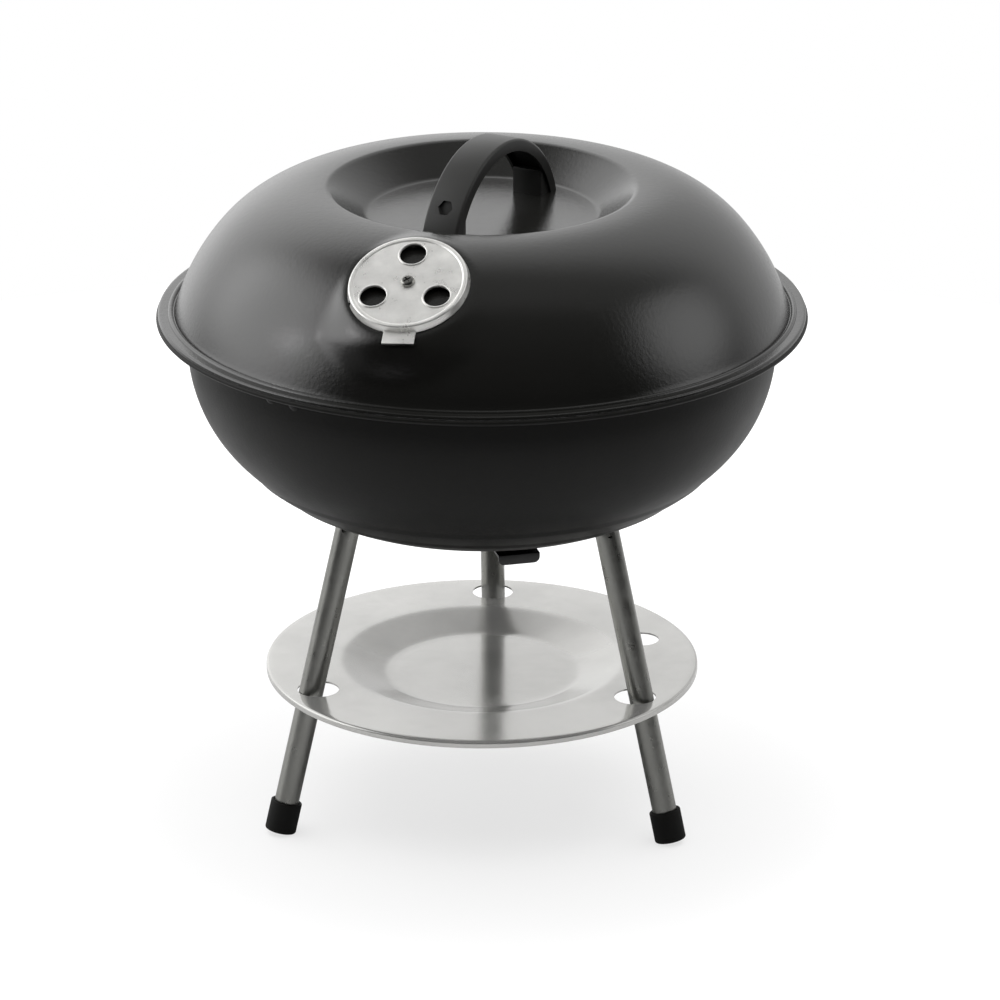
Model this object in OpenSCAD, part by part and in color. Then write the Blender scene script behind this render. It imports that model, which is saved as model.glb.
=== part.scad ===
// Portable tabletop kettle grill: a domed lid with a dished top, a round bowl on
// three splayed tube legs, two grates, two vent dampers and an ash plate.
// Origin on the ground under the middle of the bowl, +Z up, -Y is the front.

/* [Rim and sheet] */
// Outer radius of the bowl's rim, the widest point
rim_r = 185; // [165:1:225]
// Height of the rim's lower edge above the ground
rim_z = 295; // [285:1:360]
// Thickness of the lid's and the bowl's sheet
sheet_t = 1.2; // [1:0.1:1.6]
// Height of the bowl's flat rim face over the rim's lower edge
rim_h = 3; // [3:0.5:5]
// Width of the rim outside the bowl's wall
rim_w = 17.5; // [14:0.5:20]

/* [Bowl] */
// Radius of the flat bottom
bowl_flat_r = 54; // [48:1:64]
// Radius of the arc below the straight wall
bowl_side_arc = 87; // [70:1:100]
// Angle at which the side arc hands over to the bottom arc
bowl_break = 43; // [38:1:48]
// Depth of the straight wall below the rim's lower edge
bowl_wall_h = 14; // [12:1:24]
// Outward step of each of the two pressed rings round the bottom
bowl_step = 0.7; // [0.4:0.1:1]

/* [Lid] */
// Width of the lid's flange outside the dome
lid_flange_w = 9.4; // [8:0.2:12]
// Height of the lid's flange above the bowl's rim face
lid_flange_h = 2.2; // [1.8:0.1:3]
// Slope of the dome where it leaves the flange
dome_foot_slope = 70; // [60:1:78]
// Radius of the dome's side arc
dome_side_arc = 121; // [100:1:150]
// Turn of the dome's side arc
dome_side_turn = 20; // [12:1:26]
// Radius of the crest that surrounds the dish
crest_r = 89; // [82:1:100]
// Radius of the dish's flat floor
dish_floor_r = 64; // [53:0.1:68]
// Depth of the dish below the crest
dish_depth = 16; // [12:1:20]

/* [Handle] */
// Direction of the arch, turned from the front-to-back line
handle_turn = 26; // [0:1:90]
// Height of the arch above the dish floor
handle_rise = 44; // [40:1:56]
// Width of the strap
handle_w = 22; // [20:1:26]
// Thickness of the strap's skin
handle_t = 4; // [3.5:0.5:5]
// Sideways place of the arch, off the middle of the dish
handle_shift = 5; // [0:1:6]

/* [Dampers] */
// Radius of the lid damper
vent_r = 34; // [28:0.1:36]
// Height of the lid damper's skirt
vent_h = 4.5; // [4:0.5:6]
// Radius of each vent hole
vent_hole_r = 7.4; // [6:0.2:8]
// Metal left between a vent hole and the lid damper's edge
vent_edge_w = 6.1; // [5:0.1:7]
// Direction of the lid damper from the front
vent_turn = -13.7; // [-40:0.1:40]
// Tilt of the lid damper's seat
vent_tilt = 30; // [24:1:36]
// Direction of the bowl damper's lever from the front
lever_turn = 18; // [10:1:26]
// Reach of the bowl damper's lever
lever_reach = 84; // [78:1:88]

/* [Grates] */
// Clearance of the cooking grate inside its brackets
grate_gap = 2; // [1.5:0.1:3]
// Place of the charcoal grate's ring down the bottom arc, in degrees past the side arc
coal_down = 2.2; // [1.6:0.1:5]
// Spacing of the cooking grate's rods
rod_pitch = 18; // [16:1:24]
// Spacing of the charcoal grate's rods
coal_pitch = 26; // [24:1:34]
// Direction of the first grate bracket from the front
bracket_turn = -37.5; // [-44:0.5:-30]

/* [Stand] */
// Outer radius of a leg tube
leg_r = 7; // [5.5:0.1:8.5]
// Tilt of the legs
leg_tilt = 14; // [10:1:16]
// Wall of a rubber foot round its leg
foot_wall = 1.9; // [1.5:0.1:3]
// Length of a rubber foot
foot_len = 18; // [15:1:22]
// Height of the ash plate's flat ring
plate_z = 84.6; // [75:0.1:95]
// Metal left between a leg hole and the ash plate's edge
plate_edge_w = 8.1; // [6:0.1:12]
// Play of a leg in its hole in the ash plate
plate_hole_play = 4.8; // [4:0.1:6]

/* [Hidden] */
$fn = 96;

enamel = [0.06, 0.06, 0.06];
steel = [0.78, 0.78, 0.76];
zinc = [0.62, 0.63, 0.62];
plastic = [0.12, 0.12, 0.12];
soot = [0.03, 0.03, 0.03];

eps = 0.01;
fit = 0.1;           // clearance of a fixed fit
air = 0.3;           // clearance between bodies that move apart
through = 5;         // reach of a drill past the face it goes through
front_left = -60;    // directions of the legs from the front
front_right = 60;
rear = 180;

// bowl outline
wall_r = rim_r - rim_w;
wall_z = rim_z - bowl_wall_h;
seat_z = rim_z + rim_h;
roll_r = rim_h / 2;
side_c = [wall_r - bowl_side_arc, wall_z];
break_p = side_c + bowl_side_arc * [cos(bowl_break), -sin(bowl_break)];
bottom_arc = (break_p[0] - bowl_flat_r) / cos(bowl_break);
bottom_c = [bowl_flat_r, break_p[1] + bottom_arc * sin(bowl_break)];
ring_1 = bowl_break + 7;   // where the two pressed rings lie, along the bottom arc
ring_2 = bowl_break + 16;
base_arc = bottom_arc + 2 * bowl_step;
bowl_z = bottom_c[1] - base_arc;

// lid outline
lid_z = seat_z + lid_flange_h;
lid_edge_r = rim_r - 1;
dome_r = lid_edge_r - lid_flange_w;
foot_a = 90 - dome_foot_slope;
crown_a = foot_a + dome_side_turn;
skirt_h = 6.6;       // straight foot of the dome above the flange
dome_p = [dome_r - skirt_h / tan(dome_foot_slope), lid_z + skirt_h];
dome_side_c = dome_p - dome_side_arc * [cos(foot_a), sin(foot_a)];
dome_break = dome_side_c + dome_side_arc * [cos(crown_a), sin(crown_a)];
crown_arc = (dome_break[0] - crest_r) / cos(crown_a);
crown_c = [crest_r, dome_break[1] - crown_arc * sin(crown_a)];
crest_z = crown_c[1] + crown_arc;
dish_z = crest_z - dish_depth;
fold_r = 6;          // the two folds of the dish, joined by a straight wall
dish_run = [crest_r - dish_floor_r, dish_depth - 2 * fold_r];
dish_slope = atan2(dish_run[1], dish_run[0]) + asin(2 * fold_r / norm(dish_run));
bead_r = 1.7;        // pressed bead round the flange

// vent seat: a flat pressed into the dome
seat_sink = 2.5;
seat_r = vent_r + 3;
seat_flare = 10.3;   // spread of the seat's flank over its drop
seat_drop = 18;
vent_normal_r = crown_c[0] + crown_arc * sin(vent_tilt);
vent_normal_z = crown_c[1] + crown_arc * cos(vent_tilt);
seat_slide = 7.4;    // the seat's middle below the dome's tangent point
seat_c = [vent_normal_r + seat_slide * cos(vent_tilt) - seat_sink * sin(vent_tilt),
          vent_normal_z - seat_slide * sin(vent_tilt) - seat_sink * cos(vent_tilt)];
vent_phase = 7;      // turn of the damper's holes at rest, when it is shut
vent_sheet = 1;
vent_wall = 1;       // draft of the damper's skirt
vent_pitch_r = vent_r - vent_hole_r - vent_edge_w;
vent_tab = [18, 7.5];
vent_hub_r = 5;
notch = [6, 3, 3.6]; // cut in the skirt's lower edge
notch_turns = [120, -35];

// handle
foot_span = dish_floor_r - 5;
arch_r = (foot_span * foot_span + handle_rise * handle_rise) / (2 * handle_rise);
arch_z = dish_z + handle_rise - arch_r;
boss_in = 15;        // depth of the foot bosses towards the middle
boss_h = 15;
lip_h = 3;           // depth of the strap's two side lips below its skin
lip_w = 1.8;
hex_af = 8;          // moulded hexagon recess in each leg
hex_h = 17;
hex_in = 11;
hex_tilt = 70;
handle_screw_s = foot_span - 9;

// brackets and grates
bracket_t = 1.2;
bracket_w = 22;
bracket_h = 15.5;
bracket_shelf = 13;
shelf_z = rim_z - 16.5;
bracket_r = wall_r - sheet_t - 2 * fit;
ring_wire = 2.2;
rod_wire = 1.6;
bar_place = 60;      // the two crossing bars, from the middle
grate_r = bracket_r - bracket_t - grate_gap - ring_wire;
grate_z = shelf_z + bracket_t + ring_wire;
coal_wire = 2.5;
coal_rod = 2;
coal_bar_place = 48;
coal_dist = bottom_arc - sheet_t - coal_wire - air;
coal_ring_r = bottom_c[0] + coal_dist * cos(bowl_break + coal_down);
coal_z = bottom_c[1] - coal_dist * sin(bowl_break + coal_down);

// bowl damper
damper_t = 1.2;
damper_r = bowl_flat_r - 15;
damper_hole_pitch = 24;
damper_hole_r = 8;
lever_w = 24;
lever_tab = 5.8;

// legs
leg_wall = 1;
foot_r = leg_r + fit + foot_wall;
plug_len = 14;
plug_down = 0.5;
crimp_r = 1.2;
crimp_down = 5;
cap_floor = 3;
foot_cut = 0.8;      // flat worn on each foot where it meets the ground
leg_end = (bottom_c[1] + foot_cut - foot_r * sin(leg_tilt)) / cos(leg_tilt);

// ash plate
plate_t = 1;
plate_lip = 3.7;
plate_round = 1.4;
plate_step_r = 81;
plate_floor_r = 56;
plate_sink = 7.6;
plate_hang_r = 10;
plate_hang_at = 98;
plate_hang_turn = 111;
plate_hole_r = leg_r / cos(leg_tilt) + plate_hole_play;
leg_at_plate = bottom_c[0] + (bottom_c[1] - plate_z + plate_t) * tan(leg_tilt);
plate_hole_at = leg_at_plate + leg_r / cos(leg_tilt) + air - plate_hole_r;
plate_r = plate_hole_at + plate_hole_r + plate_edge_w;

// fasteners: a head is its foot radius, top radius and height, a washer its radius and thickness
pivot_r = 3;         // rivet of the bowl damper
pivot_head = [5.6, 4, 2];
rivet_r = 2;
rivet_gap = 17;
rivet_z = rim_z - 6;
rivet_head = [4, 2.6, 1.6];
rivet_tail = [3.4, 2.4, 0.9];
bracket_in_r = bracket_r - bracket_t;
rivet_sag = bracket_in_r - sqrt(pow(bracket_in_r, 2) - pow(rivet_gap / 2 + rivet_tail[0], 2));
rivet_grip = wall_r - bracket_in_r + rivet_sag;
screw_r = 2;         // screw of the lid damper
screw_below = 9;
screw_head = [4, 2.8, 2];
screw_cross = [4.4, 1];
spring_washer = [5.5, 1.4];
nut = [4.6, 3.4];
handle_screw_r = 2.4;
handle_screw_up = 11.6;
handle_head = [4.6, 3.4, 2.9];
handle_washer = [7, 1.2];
bolt_r = 2.9;
bolt_len = 14;
bolt_head = [5.8, 4];
leg_washer = [9, 1.2];
washer_seat_r = base_arc - sheet_t;
washer_lift = washer_seat_r - sqrt(pow(washer_seat_r, 2) - pow(leg_washer[0], 2)) + 1.5 * fit;

function arc(c, r, a0, a1, n = 8) =
    [for (i = [0:n]) let (a = a0 + (a1 - a0) * i / n) c + r * [cos(a), sin(a)]];

// turns a shape drawn towards the front to the given direction
module turned(a) {
    rotate([0, 0, a]) children();
}

// a leg's own frame: -Z runs down the leg from the middle of the bottom arc
module along_leg(a) {
    turned(a) translate([0, -bottom_c[0], bottom_c[1]]) rotate([-leg_tilt, 0, 0]) children();
}

// the lid vent's own frame: +Z out of the seat, +Y up the slope
module on_seat() {
    turned(vent_turn) translate([0, -seat_c[0], seat_c[1]]) rotate([vent_tilt, 0, 0]) children();
}

// a bore on both sides of the XY plane
module drill(r) {
    translate([0, 0, -through]) cylinder(r = r, h = 2 * through);
}

module holes_3(pitch, r, h, phase) {
    for (i = [0:2])
        rotate([0, 0, 90 + phase + 120 * i]) translate([pitch, 0, -h / 2]) cylinder(r = r, h = h);
}

// a round head that stands on the XY plane and narrows upwards
module head(size) {
    cylinder(r1 = size[0], r2 = size[1], h = size[2], $fn = 32);
}

module washer(size, bore) {
    difference() {
        cylinder(r = size[0], h = size[1], $fn = 48);
        translate([0, 0, -1]) cylinder(r = bore, h = size[1] + 2, $fn = 48);
    }
}

// ---- bowl ----

// outline of the bowl below its rim, moved inwards by t
function bowl_line(t) = concat(
    [[wall_r - t, seat_z]],
    arc(side_c, bowl_side_arc - t, 0, -bowl_break),
    arc(bottom_c, bottom_arc - t, -bowl_break, -ring_1, 2),
    arc(bottom_c, bottom_arc + bowl_step - t, -ring_1, -ring_2, 2),
    arc(bottom_c, base_arc - t, -ring_2, -90, 6));

module bowl() {
    color(enamel) difference() {
        union() {
            rotate_extrude() difference() {
                polygon(concat(bowl_line(0), [[0, bowl_z], [0, seat_z]]));
                polygon(concat(bowl_line(sheet_t), [[0, bowl_z + sheet_t], [0, seat_z + 1]]));
                translate([0, seat_z]) square([wall_r - sheet_t, 2]);
            }
            rotate_extrude() {
                translate([wall_r - eps, seat_z - sheet_t]) square([rim_w - roll_r + eps, sheet_t]);
                translate([rim_r - roll_r, seat_z - roll_r]) circle(r = roll_r, $fn = 24);
            }
        }
        for (a = [front_left, front_right, rear])
            along_leg(a) translate([0, 0, -base_arc]) drill(bolt_r + fit);
        translate([0, 0, bowl_z]) holes_3(damper_hole_pitch, damper_hole_r, 6, lever_turn + 60);
        translate([0, 0, bowl_z]) drill(pivot_r + fit);
        bracket_rivet_places() drill(rivet_r + fit);
    }
}

// ---- grate brackets ----

// each rivet's own frame: +Z out of the bowl, with the XY plane on the wall
module bracket_rivet_places() {
    for (k = [0:2], s = [-1, 1])
        turned(bracket_turn + 120 * k) translate([s * rivet_gap / 2, 0, rivet_z])
            rotate([90, 0, 0]) translate([0, 0, wall_r]) children();
}

module bracket(k) {
    half = bracket_w / wall_r * 90 / PI;
    color(steel) difference() {
        turned(bracket_turn + 120 * k - 90 - half) rotate_extrude(angle = 2 * half) {
            translate([bracket_r - bracket_t, shelf_z]) square([bracket_t, bracket_h]);
            translate([bracket_r - bracket_shelf, shelf_z]) square([bracket_shelf, bracket_t]);
        }
        bracket_rivet_places() drill(rivet_r + fit);
    }
}

module bracket_rivets() {
    color(steel) bracket_rivet_places() {
        translate([0, 0, -rivet_grip - 0.5]) cylinder(r = rivet_r, h = rivet_grip + 1, $fn = 32);
        head(rivet_head);
        translate([0, 0, -rivet_grip]) rotate([180, 0, 0]) head(rivet_tail);
    }
}

// ---- grates ----

module wire_ring(r, wire) {
    rotate_extrude() translate([r, 0]) circle(r = wire, $fn = 24);
}

// a round rod from the origin along +Z
module rod(wire, len) {
    rotate([0, 0, 50]) cylinder(r = wire, h = len, $fn = 20);
}

// parallel rods across a ring, and crossing bars welded under them
module rods(r, wire, pitch, bar) {
    n = floor((r - pitch / 3) / pitch);
    for (i = [-n:n]) let (half = sqrt(r * r - pow(i * pitch, 2)))
        translate([i * pitch, half, 0]) rotate([90, 0, 0]) rod(wire, 2 * half);
    for (y = [-bar, bar]) let (half = sqrt(pow(r - wire, 2) - y * y))
        translate([-half, y, -wire]) rotate([0, 90, 0]) rotate([0, 0, 150]) rod(wire, 2 * half);
}

module cooking_grate() {
    color(steel) translate([0, 0, grate_z]) {
        wire_ring(grate_r, ring_wire);
        rods(grate_r, rod_wire, rod_pitch, bar_place);
    }
}

module charcoal_grate() {
    color(zinc) translate([0, 0, coal_z]) {
        wire_ring(coal_ring_r, coal_wire);
        rods(coal_ring_r, coal_rod, coal_pitch, coal_bar_place);
    }
}

// ---- bowl damper ----

module bowl_damper() {
    color(soot) difference() {
        union() {
            translate([0, 0, bowl_z - air - damper_t]) cylinder(r = damper_r, h = damper_t);
            turned(lever_turn) {
                translate([-lever_w / 2, -lever_reach, bowl_z - air - damper_t])
                    cube([lever_w, lever_reach, damper_t]);
                translate([-lever_w / 2, -lever_reach, bowl_z - air - lever_tab])
                    cube([lever_w, damper_t, lever_tab]);
            }
        }
        translate([0, 0, bowl_z]) holes_3(damper_hole_pitch, damper_hole_r, 12, lever_turn);
        translate([0, 0, bowl_z]) drill(pivot_r + fit);
    }
}

module bowl_damper_rivet() {
    low = 2 * air + damper_t;
    high = sheet_t + fit;
    color(steel) translate([0, 0, bowl_z]) {
        translate([0, 0, -low - 0.5]) cylinder(r = pivot_r, h = low + high + 1, $fn = 32);
        translate([0, 0, -low]) rotate([180, 0, 0]) head(pivot_head);
        translate([0, 0, high]) head(pivot_head);
    }
}

// ---- lid ----

// outline of the dome and its dish from the flange to the middle, moved inwards by t
function dome_line(t) = concat(
    [[dome_r - t / sin(dome_foot_slope), lid_z]],
    arc(dome_side_c, dome_side_arc - t, foot_a, crown_a),
    arc(crown_c, crown_arc - t, crown_a, 90, 10),
    arc([crest_r, crest_z - fold_r], fold_r - t, 90, 90 + dish_slope, 5),
    arc([dish_floor_r, dish_z + fold_r], fold_r + t, dish_slope - 90, -90, 4),
    [[0, dish_z - t]]);

module dome_solid(t, base) {
    rotate_extrude() polygon(concat(dome_line(t), [[0, base], [dome_r - t / sin(dome_foot_slope), base]]));
    on_seat() translate([0, 0, -seat_drop - t])
        cylinder(r1 = seat_r + seat_flare - t, r2 = seat_r - t, h = seat_drop);
}

module lid() {
    color(enamel) difference() {
        union() {
            intersection() {
                dome_solid(0, lid_z - sheet_t);
                translate([0, 0, lid_z - sheet_t]) cylinder(r = dome_r, h = crest_z);
            }
            lid_flange();
        }
        difference() {
            dome_solid(sheet_t, lid_z - 2 * sheet_t);
            on_seat() translate([0, 0, -sheet_t]) cylinder(r = seat_r + 2, h = 20);
        }
        on_seat() cylinder(r = seat_r, h = 20);
        on_seat() holes_3(vent_pitch_r, vent_hole_r, 8, vent_phase + 60);
        on_seat() drill(screw_r + fit);
        handle_screw_places() drill(handle_screw_r + fit);
    }
}

module lid_flange() {
    rotate_extrude() {
        translate([dome_r - 2, lid_z - sheet_t]) square([lid_flange_w + 1, sheet_t]);
        translate([lid_edge_r - sheet_t, seat_z]) square([sheet_t, lid_flange_h - sheet_t + eps]);
        translate([lid_edge_r - sheet_t, lid_z - sheet_t]) intersection() {
            circle(r = sheet_t, $fn = 24);
            translate([-eps, -eps]) square(sheet_t + eps);
        }
        translate([dome_r + bead_r + 0.6, lid_z - 0.4]) intersection() {
            circle(r = bead_r, $fn = 24);
            translate([-5, -sheet_t / 2]) square([10, 5]);
        }
    }
}

// ---- lid handle ----

// the arch's own frame: +X along the arch, +Z up from the dish floor
module on_dish() {
    rotate([0, 0, 90 - handle_turn]) translate([0, -handle_shift, dish_z]) children();
}

module handle_screw_places() {
    for (s = [-1, 1])
        on_dish() translate([s * handle_screw_s, 0, 0]) children();
}

module strap(w, r_out, r_in) {
    translate([0, w / 2, arch_z - dish_z]) rotate([90, 0, 0]) difference() {
        cylinder(r = r_out, h = w);
        translate([0, 0, -1]) cylinder(r = r_in, h = w + 2);
    }
}

module lid_handle() {
    color(plastic) difference() {
        on_dish() intersection() {
            union() {
                difference() {
                    strap(handle_w, arch_r, arch_r - handle_t - lip_h);
                    strap(handle_w - 2 * lip_w, arch_r - handle_t, arch_r - handle_t - lip_h - 1);
                }
                for (s = [-1, 1])
                    translate([s * (foot_span - boss_in / 2 - 1) - boss_in / 2, -handle_w / 2 + lip_w, 0])
                        cube([boss_in, handle_w - 2 * lip_w, boss_h]);
            }
            translate([0, handle_w / 2, arch_z - dish_z]) rotate([90, 0, 0])
                cylinder(r = arch_r, h = handle_w);
            translate([-foot_span - 5, -handle_w, 0]) cube([2 * foot_span + 10, 2 * handle_w, arch_r]);
        }
        handle_screw_places() translate([0, 0, -1]) cylinder(r = handle_screw_r, h = 13);
        on_dish() for (s = [0, 180])
            rotate([0, 0, s]) translate([foot_span - hex_in, 0, hex_h])
                rotate([0, hex_tilt, 0]) cylinder(d = hex_af / cos(30), h = 20, $fn = 6);
    }
}

module handle_screws() {
    color(steel) handle_screw_places() {
        low = sheet_t + handle_washer[1] + fit;
        translate([0, 0, -low - fit])
            cylinder(r = handle_screw_r - fit / 2, h = low + handle_screw_up, $fn = 32);
        translate([0, 0, -low]) rotate([180, 0, 0]) head(handle_head);
    }
}

module handle_washers() {
    color(steel) handle_screw_places() translate([0, 0, -sheet_t - handle_washer[1]])
        washer(handle_washer, handle_screw_r + fit);
}

// ---- lid damper ----

module lid_damper() {
    color(steel) on_seat() translate([0, 0, air]) difference() {
        union() {
            difference() {
                cylinder(r1 = vent_r, r2 = vent_r - vent_wall, h = vent_h);
                translate([0, 0, -1])
                    cylinder(r = vent_r - vent_wall - vent_sheet, h = vent_h + 1 - vent_sheet);
            }
            rotate([0, 0, 180 + vent_phase]) translate([-vent_tab[0] / 2, vent_r - vent_wall - 1, 0])
                cube([vent_tab[0], vent_tab[1] + vent_wall + 1, vent_sheet]);
            cylinder(r = vent_hub_r, h = vent_h);
        }
        translate([0, 0, vent_h]) holes_3(vent_pitch_r, vent_hole_r, 6, vent_phase);
        translate([0, 0, -1]) cylinder(r = screw_r + fit, h = vent_h + 2);
        for (a = notch_turns)
            rotate([0, 0, a + 90]) translate([vent_r - notch[0] / 2, -notch[1] / 2, -1]) cube(notch);
    }
}

module lid_damper_screw() {
    color(steel) on_seat() {
        translate([0, 0, -screw_below]) cylinder(r = screw_r, h = vent_h + air + screw_below, $fn = 32);
        translate([0, 0, vent_h + air]) difference() {
            head(screw_head);
            for (a = [0, 90])
                rotate([0, 0, a]) translate([-screw_cross[0] / 2, -screw_cross[1] / 2, screw_head[2] / 2])
                    cube([screw_cross[0], screw_cross[1], screw_head[2]]);
        }
    }
}

module lid_damper_spring_washer() {
    color(steel) on_seat() translate([0, 0, -sheet_t - spring_washer[1] - fit])
        washer(spring_washer, screw_r + fit);
}

module lid_damper_nut() {
    color(steel) on_seat() translate([0, 0, -sheet_t - spring_washer[1] - 2 * fit - nut[1]]) difference() {
        cylinder(r = nut[0], h = nut[1], $fn = 6);
        translate([0, 0, -1]) cylinder(r = screw_r + fit / 2, h = nut[1] + 2, $fn = 32);
    }
}

// ---- legs and feet ----

module leg(a) {
    len = leg_end - cap_floor - base_arc - fit;
    color(zinc) along_leg(a) translate([0, 0, -base_arc - len]) difference() {
        cylinder(r = leg_r, h = len);
        translate([0, 0, -1]) cylinder(r = leg_r - leg_wall, h = len + 2);
        for (b = [45, 135])
            rotate([0, 0, b]) translate([0, 0, len - crimp_down]) rotate([90, 0, 0])
                translate([0, 0, -leg_r - 1]) cylinder(r = crimp_r, h = 2 * leg_r + 2, $fn = 24);
    }
}

module leg_plugs() {
    color(zinc) for (a = [front_left, front_right, rear])
        along_leg(a) translate([0, 0, -base_arc - plug_down - plug_len])
            washer([leg_r - leg_wall - fit, plug_len], bolt_r + fit / 2);
}

module leg_bolts() {
    color(steel) for (a = [front_left, front_right, rear])
        along_leg(a) translate([0, 0, -washer_seat_r + washer_lift + leg_washer[1]]) {
            translate([0, 0, -bolt_len]) cylinder(r = bolt_r, h = bolt_len, $fn = 32);
            cylinder(r = bolt_head[0], h = bolt_head[1], $fn = 6);
        }
}

module leg_washers() {
    color(steel) for (a = [front_left, front_right, rear])
        along_leg(a) translate([0, 0, -washer_seat_r + washer_lift]) washer(leg_washer, bolt_r + fit);
}

module foot(a) {
    color(soot) difference() {
        along_leg(a) translate([0, 0, -leg_end]) difference() {
            cylinder(r = foot_r, h = foot_len);
            translate([0, 0, cap_floor]) cylinder(r = leg_r + fit, h = foot_len);
        }
        translate([-2 * rim_r, -2 * rim_r, -foot_len]) cube([4 * rim_r, 4 * rim_r, foot_len]);
    }
}

// ---- ash plate ----

// outline of the plate's upper face from the middle to the lip's edge, moved inwards by t
function plate_line(t) = concat(
    [[0, plate_z - plate_sink - t],
     [plate_floor_r + t / 2, plate_z - plate_sink - t],
     [plate_step_r + t / 2, plate_z - t]],
    arc([plate_r - plate_round, plate_z - plate_round], plate_round - t, 90, 0, 4),
    [[plate_r - t, plate_z - plate_lip]]);

function reversed(list) = [for (i = [len(list) - 1:-1:0]) list[i]];

module ash_plate() {
    color(steel) difference() {
        rotate_extrude() polygon(concat(plate_line(0), reversed(plate_line(plate_t))));
        for (a = [front_left, front_right, rear])
            turned(a) translate([0, -plate_hole_at, plate_z - through])
                cylinder(r = plate_hole_r, h = 2 * through);
        turned(plate_hang_turn) translate([0, -plate_hang_at, plate_z - through])
            cylinder(r = plate_hang_r, h = 2 * through);
    }
}

bowl();
bracket(0);  // bracket_front_left
bracket(1);  // bracket_right
bracket(2);  // bracket_rear
bracket_rivets();
bowl_damper();
bowl_damper_rivet();
charcoal_grate();
cooking_grate();
lid();
lid_handle();
handle_screws();
handle_washers();
lid_damper();
lid_damper_screw();
lid_damper_spring_washer();
lid_damper_nut();
leg(front_left);  // leg_front_left
leg(front_right);  // leg_front_right
leg(rear);  // leg_rear
leg_plugs();
leg_bolts();
leg_washers();
foot(front_left);  // foot_front_left
foot(front_right);  // foot_front_right
foot(rear);  // foot_rear
ash_plate();
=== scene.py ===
import functools
import math

import bmesh
import bpy
from mathutils import Matrix, Vector


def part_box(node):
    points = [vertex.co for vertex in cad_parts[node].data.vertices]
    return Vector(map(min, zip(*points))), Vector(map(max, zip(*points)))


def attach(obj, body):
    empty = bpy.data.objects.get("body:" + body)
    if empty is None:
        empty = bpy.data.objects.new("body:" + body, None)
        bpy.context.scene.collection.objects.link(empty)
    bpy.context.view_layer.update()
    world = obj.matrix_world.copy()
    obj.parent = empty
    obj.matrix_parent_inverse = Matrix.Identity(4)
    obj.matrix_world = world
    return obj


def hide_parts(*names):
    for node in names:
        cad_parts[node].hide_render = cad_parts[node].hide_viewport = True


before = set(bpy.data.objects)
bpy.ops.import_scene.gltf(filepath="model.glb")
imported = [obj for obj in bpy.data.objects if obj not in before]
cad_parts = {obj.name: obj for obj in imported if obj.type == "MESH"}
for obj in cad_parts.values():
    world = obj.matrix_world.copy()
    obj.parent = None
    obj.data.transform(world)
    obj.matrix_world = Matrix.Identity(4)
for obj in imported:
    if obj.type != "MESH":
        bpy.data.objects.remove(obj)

bl_info = {
    "name": "Tabletop Kettle Grill",
    "version": (1, 0, 0),
    "blender": (4, 5, 0),
    "location": "View3D > Sidebar > Grill",
    "description": "Builds the visible pieces of a portable kettle grill around its CAD frame",
    "category": "Add Mesh",
}

# Everything is in metres, in the frame's own axes: +Z up, -Y the front.
MM = 0.001
QUARTER, THIRD, HALF = math.radians(90), math.radians(120), math.radians(180)
FRONT_LEFT, FRONT_RIGHT, REAR = math.radians(-60), math.radians(60), HALF
SCREW_BORE, HANDLE_BORE, PIVOT_BORE = 2.1 * MM, 2.5 * MM, 3.1 * MM
BOTTOM_HOLE_R, BOTTOM_PITCH_R = 8 * MM, 24 * MM
LEG_NODES = ("leg_front_left", "leg_front_right", "leg_rear")
FOOT_NODES = ("foot_front_left", "foot_front_right", "foot_rear")
BRACKET_NODES = ("bracket_front_left", "bracket_right", "bracket_rear")
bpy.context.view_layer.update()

BOWL_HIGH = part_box("bowl")[1]
HANDLE_LOW, HANDLE_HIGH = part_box("lid_handle")
PLATE_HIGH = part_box("ash_plate")[1]


def length(name, default, description):
    """A length property in metres."""
    return bpy.props.FloatProperty(
        name=name, default=default, description=description, min=0.0, unit="LENGTH", precision=5)


def angle(name, default, description):
    """An angle property whose default is given in degrees."""
    return bpy.props.FloatProperty(
        name=name, default=math.radians(default), description=description, unit="ROTATION")


def share(name, default, description):
    """A plain number from 0 to 1."""
    return bpy.props.FloatProperty(
        name=name, default=default, description=description, min=0.0, max=1.0)


def colour(name, default, description):
    """A colour property."""
    return bpy.props.FloatVectorProperty(
        name=name, default=default, description=description, subtype="COLOR", size=3,
        min=0.0, max=1.0)


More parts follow.
